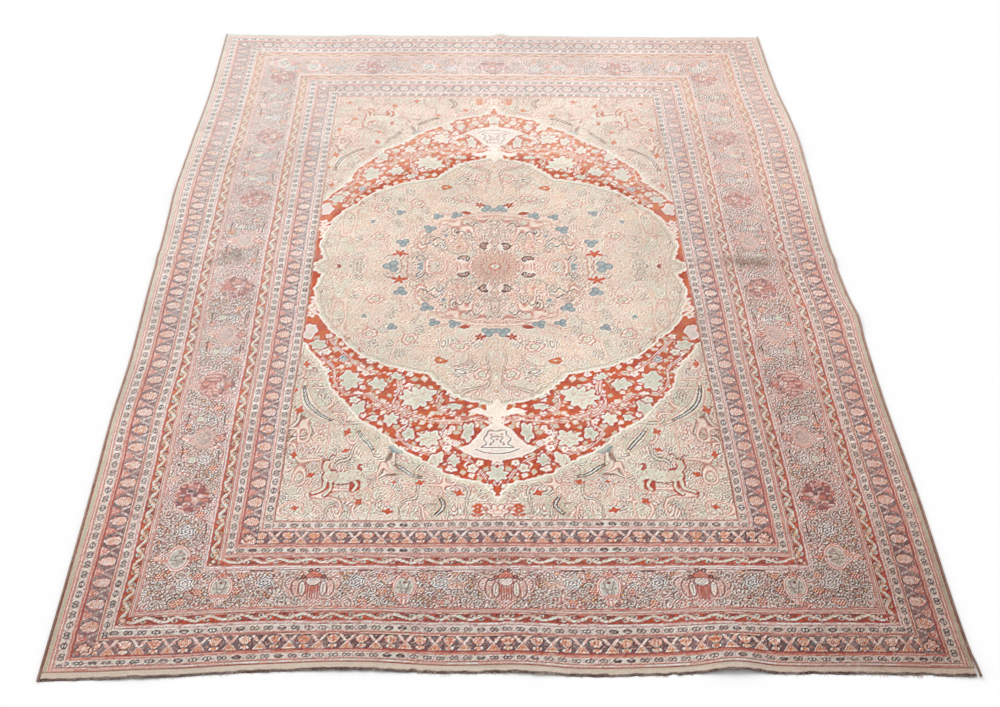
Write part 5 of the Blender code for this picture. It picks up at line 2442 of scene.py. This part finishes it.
@dataclass(frozen=True)
class Studio:
    """A pale floor, soft light from all round with a little more from behind on the left, and the camera."""

    floor_size: float = 30.0
    floor_depth: float = 0.0006
    floor_tone: float = 0.94
    sky: float = 0.74
    sun: float = 1.28
    sun_angle: float = 0.9
    lens: float = 50.76
    place: tuple[float, float, float] = (-0.1134, -4.2719, 3.0782)
    right: tuple[float, float, float] = (0.9998, -0.0162, 0.0143)
    up: tuple[float, float, float] = (-0.0008, 0.6323, 0.7747)
    forward: tuple[float, float, float] = (0.0216, 0.7746, -0.6321)

    def build_floor(self) -> bpy.types.Object:
        """Make the floor.

        Returns:
            The floor.
        """
        half = self.floor_size / 2
        corners = [(x * half, y * half, -self.floor_depth) for x, y in ((-1, -1), (1, -1), (1, 1), (-1, 1))]
        mesh = bpy.data.meshes.new("floor")
        mesh.from_pydata(corners, [], [(0, 1, 2, 3)])
        material = bpy.data.materials.new("pale floor")
        material.use_nodes = True
        shader = material.node_tree.nodes["Principled BSDF"]
        shader.inputs["Base Color"].default_value = (self.floor_tone, self.floor_tone, self.floor_tone, 1.0)
        shader.inputs["Roughness"].default_value = 0.95
        shader.inputs["Specular IOR Level"].default_value = 0.1
        mesh.materials.append(material)
        floor = bpy.data.objects.new("floor", mesh)
        bpy.context.scene.collection.objects.link(floor)
        return floor

    def build_light(self) -> None:
        """Make the even sky and the broad soft light."""
        world = bpy.data.worlds.new("studio")
        world.use_nodes = True
        world.node_tree.nodes["Background"].inputs["Color"].default_value = (1.0, 1.0, 1.0, 1.0)
        world.node_tree.nodes["Background"].inputs["Strength"].default_value = self.sky
        bpy.context.scene.world = world
        lamp = bpy.data.lights.new("broad window", "SUN")
        lamp.energy = self.sun
        lamp.angle = self.sun_angle
        window = bpy.data.objects.new("broad window", lamp)
        window.rotation_euler = Vector((0.55, -0.55, -1.0)).to_track_quat("-Z", "Y").to_euler()
        bpy.context.scene.collection.objects.link(window)
        bpy.context.scene.view_settings.view_transform = "Standard"

    def build_camera(self) -> None:
        """Make the camera of the photograph's view, turned by its three axes."""
        data = bpy.data.cameras.new("camera")
        data.lens = self.lens
        data.sensor_width = 36.0
        data.sensor_fit = "HORIZONTAL"
        data.clip_end = 100.0
        camera = bpy.data.objects.new("camera", data)
        turn = Matrix((self.right, self.up, tuple(-k for k in self.forward))).transposed().to_4x4()
        turn.normalize()
        camera.matrix_world = Matrix.Translation(Vector(self.place) + Vector((*SHIFT, 0.0))) @ turn
        bpy.context.scene.collection.objects.link(camera)
        bpy.context.scene.camera = camera


# The whole rug.


def main() -> None:
    logging.basicConfig(level=logging.INFO, format="%(message)s")
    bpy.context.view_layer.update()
    Log.info("shift %.5f %.5f", *SHIFT)
    studio = Studio()
    floor = studio.build_floor()
    studio.build_light()
    studio.build_camera()
    effects = Effects()
    pile = Finish("knotted wool pile", "knotted_wool", effects, 0.0021, 0.0023, 0.55, 0.0006, 0.22)
    wrap = Finish("overcast wool", "overcast_wool", effects, 0.0016, 0.0009, 0.8, 0.0004, 0.2)
    weave = Finish("cotton flat weave", "cotton_weave", effects, 0.0024, 0.0012, 0.3, 0.0005, 0.3, sheen=0.03)
    courses = Pile().build(pile)
    cords = [
        SideCord("overcast_cord_left", "side_cord_left", -1).build(wrap),
        SideCord("overcast_cord_right", "side_cord_right", 1).build(wrap),
    ]
    near = WovenEnd("woven_end_near_cloth", "woven_end_near", -1, CLOTH.near_end, 520, 0.011)
    far = WovenEnd("woven_end_far_cloth", "woven_end_far", 1, CLOTH.far_end, 260, 0.004)
    for end in (near, far):
        cloth, warps = end.build(weave)
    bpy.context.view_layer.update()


if __name__ == "__main__":
    main()
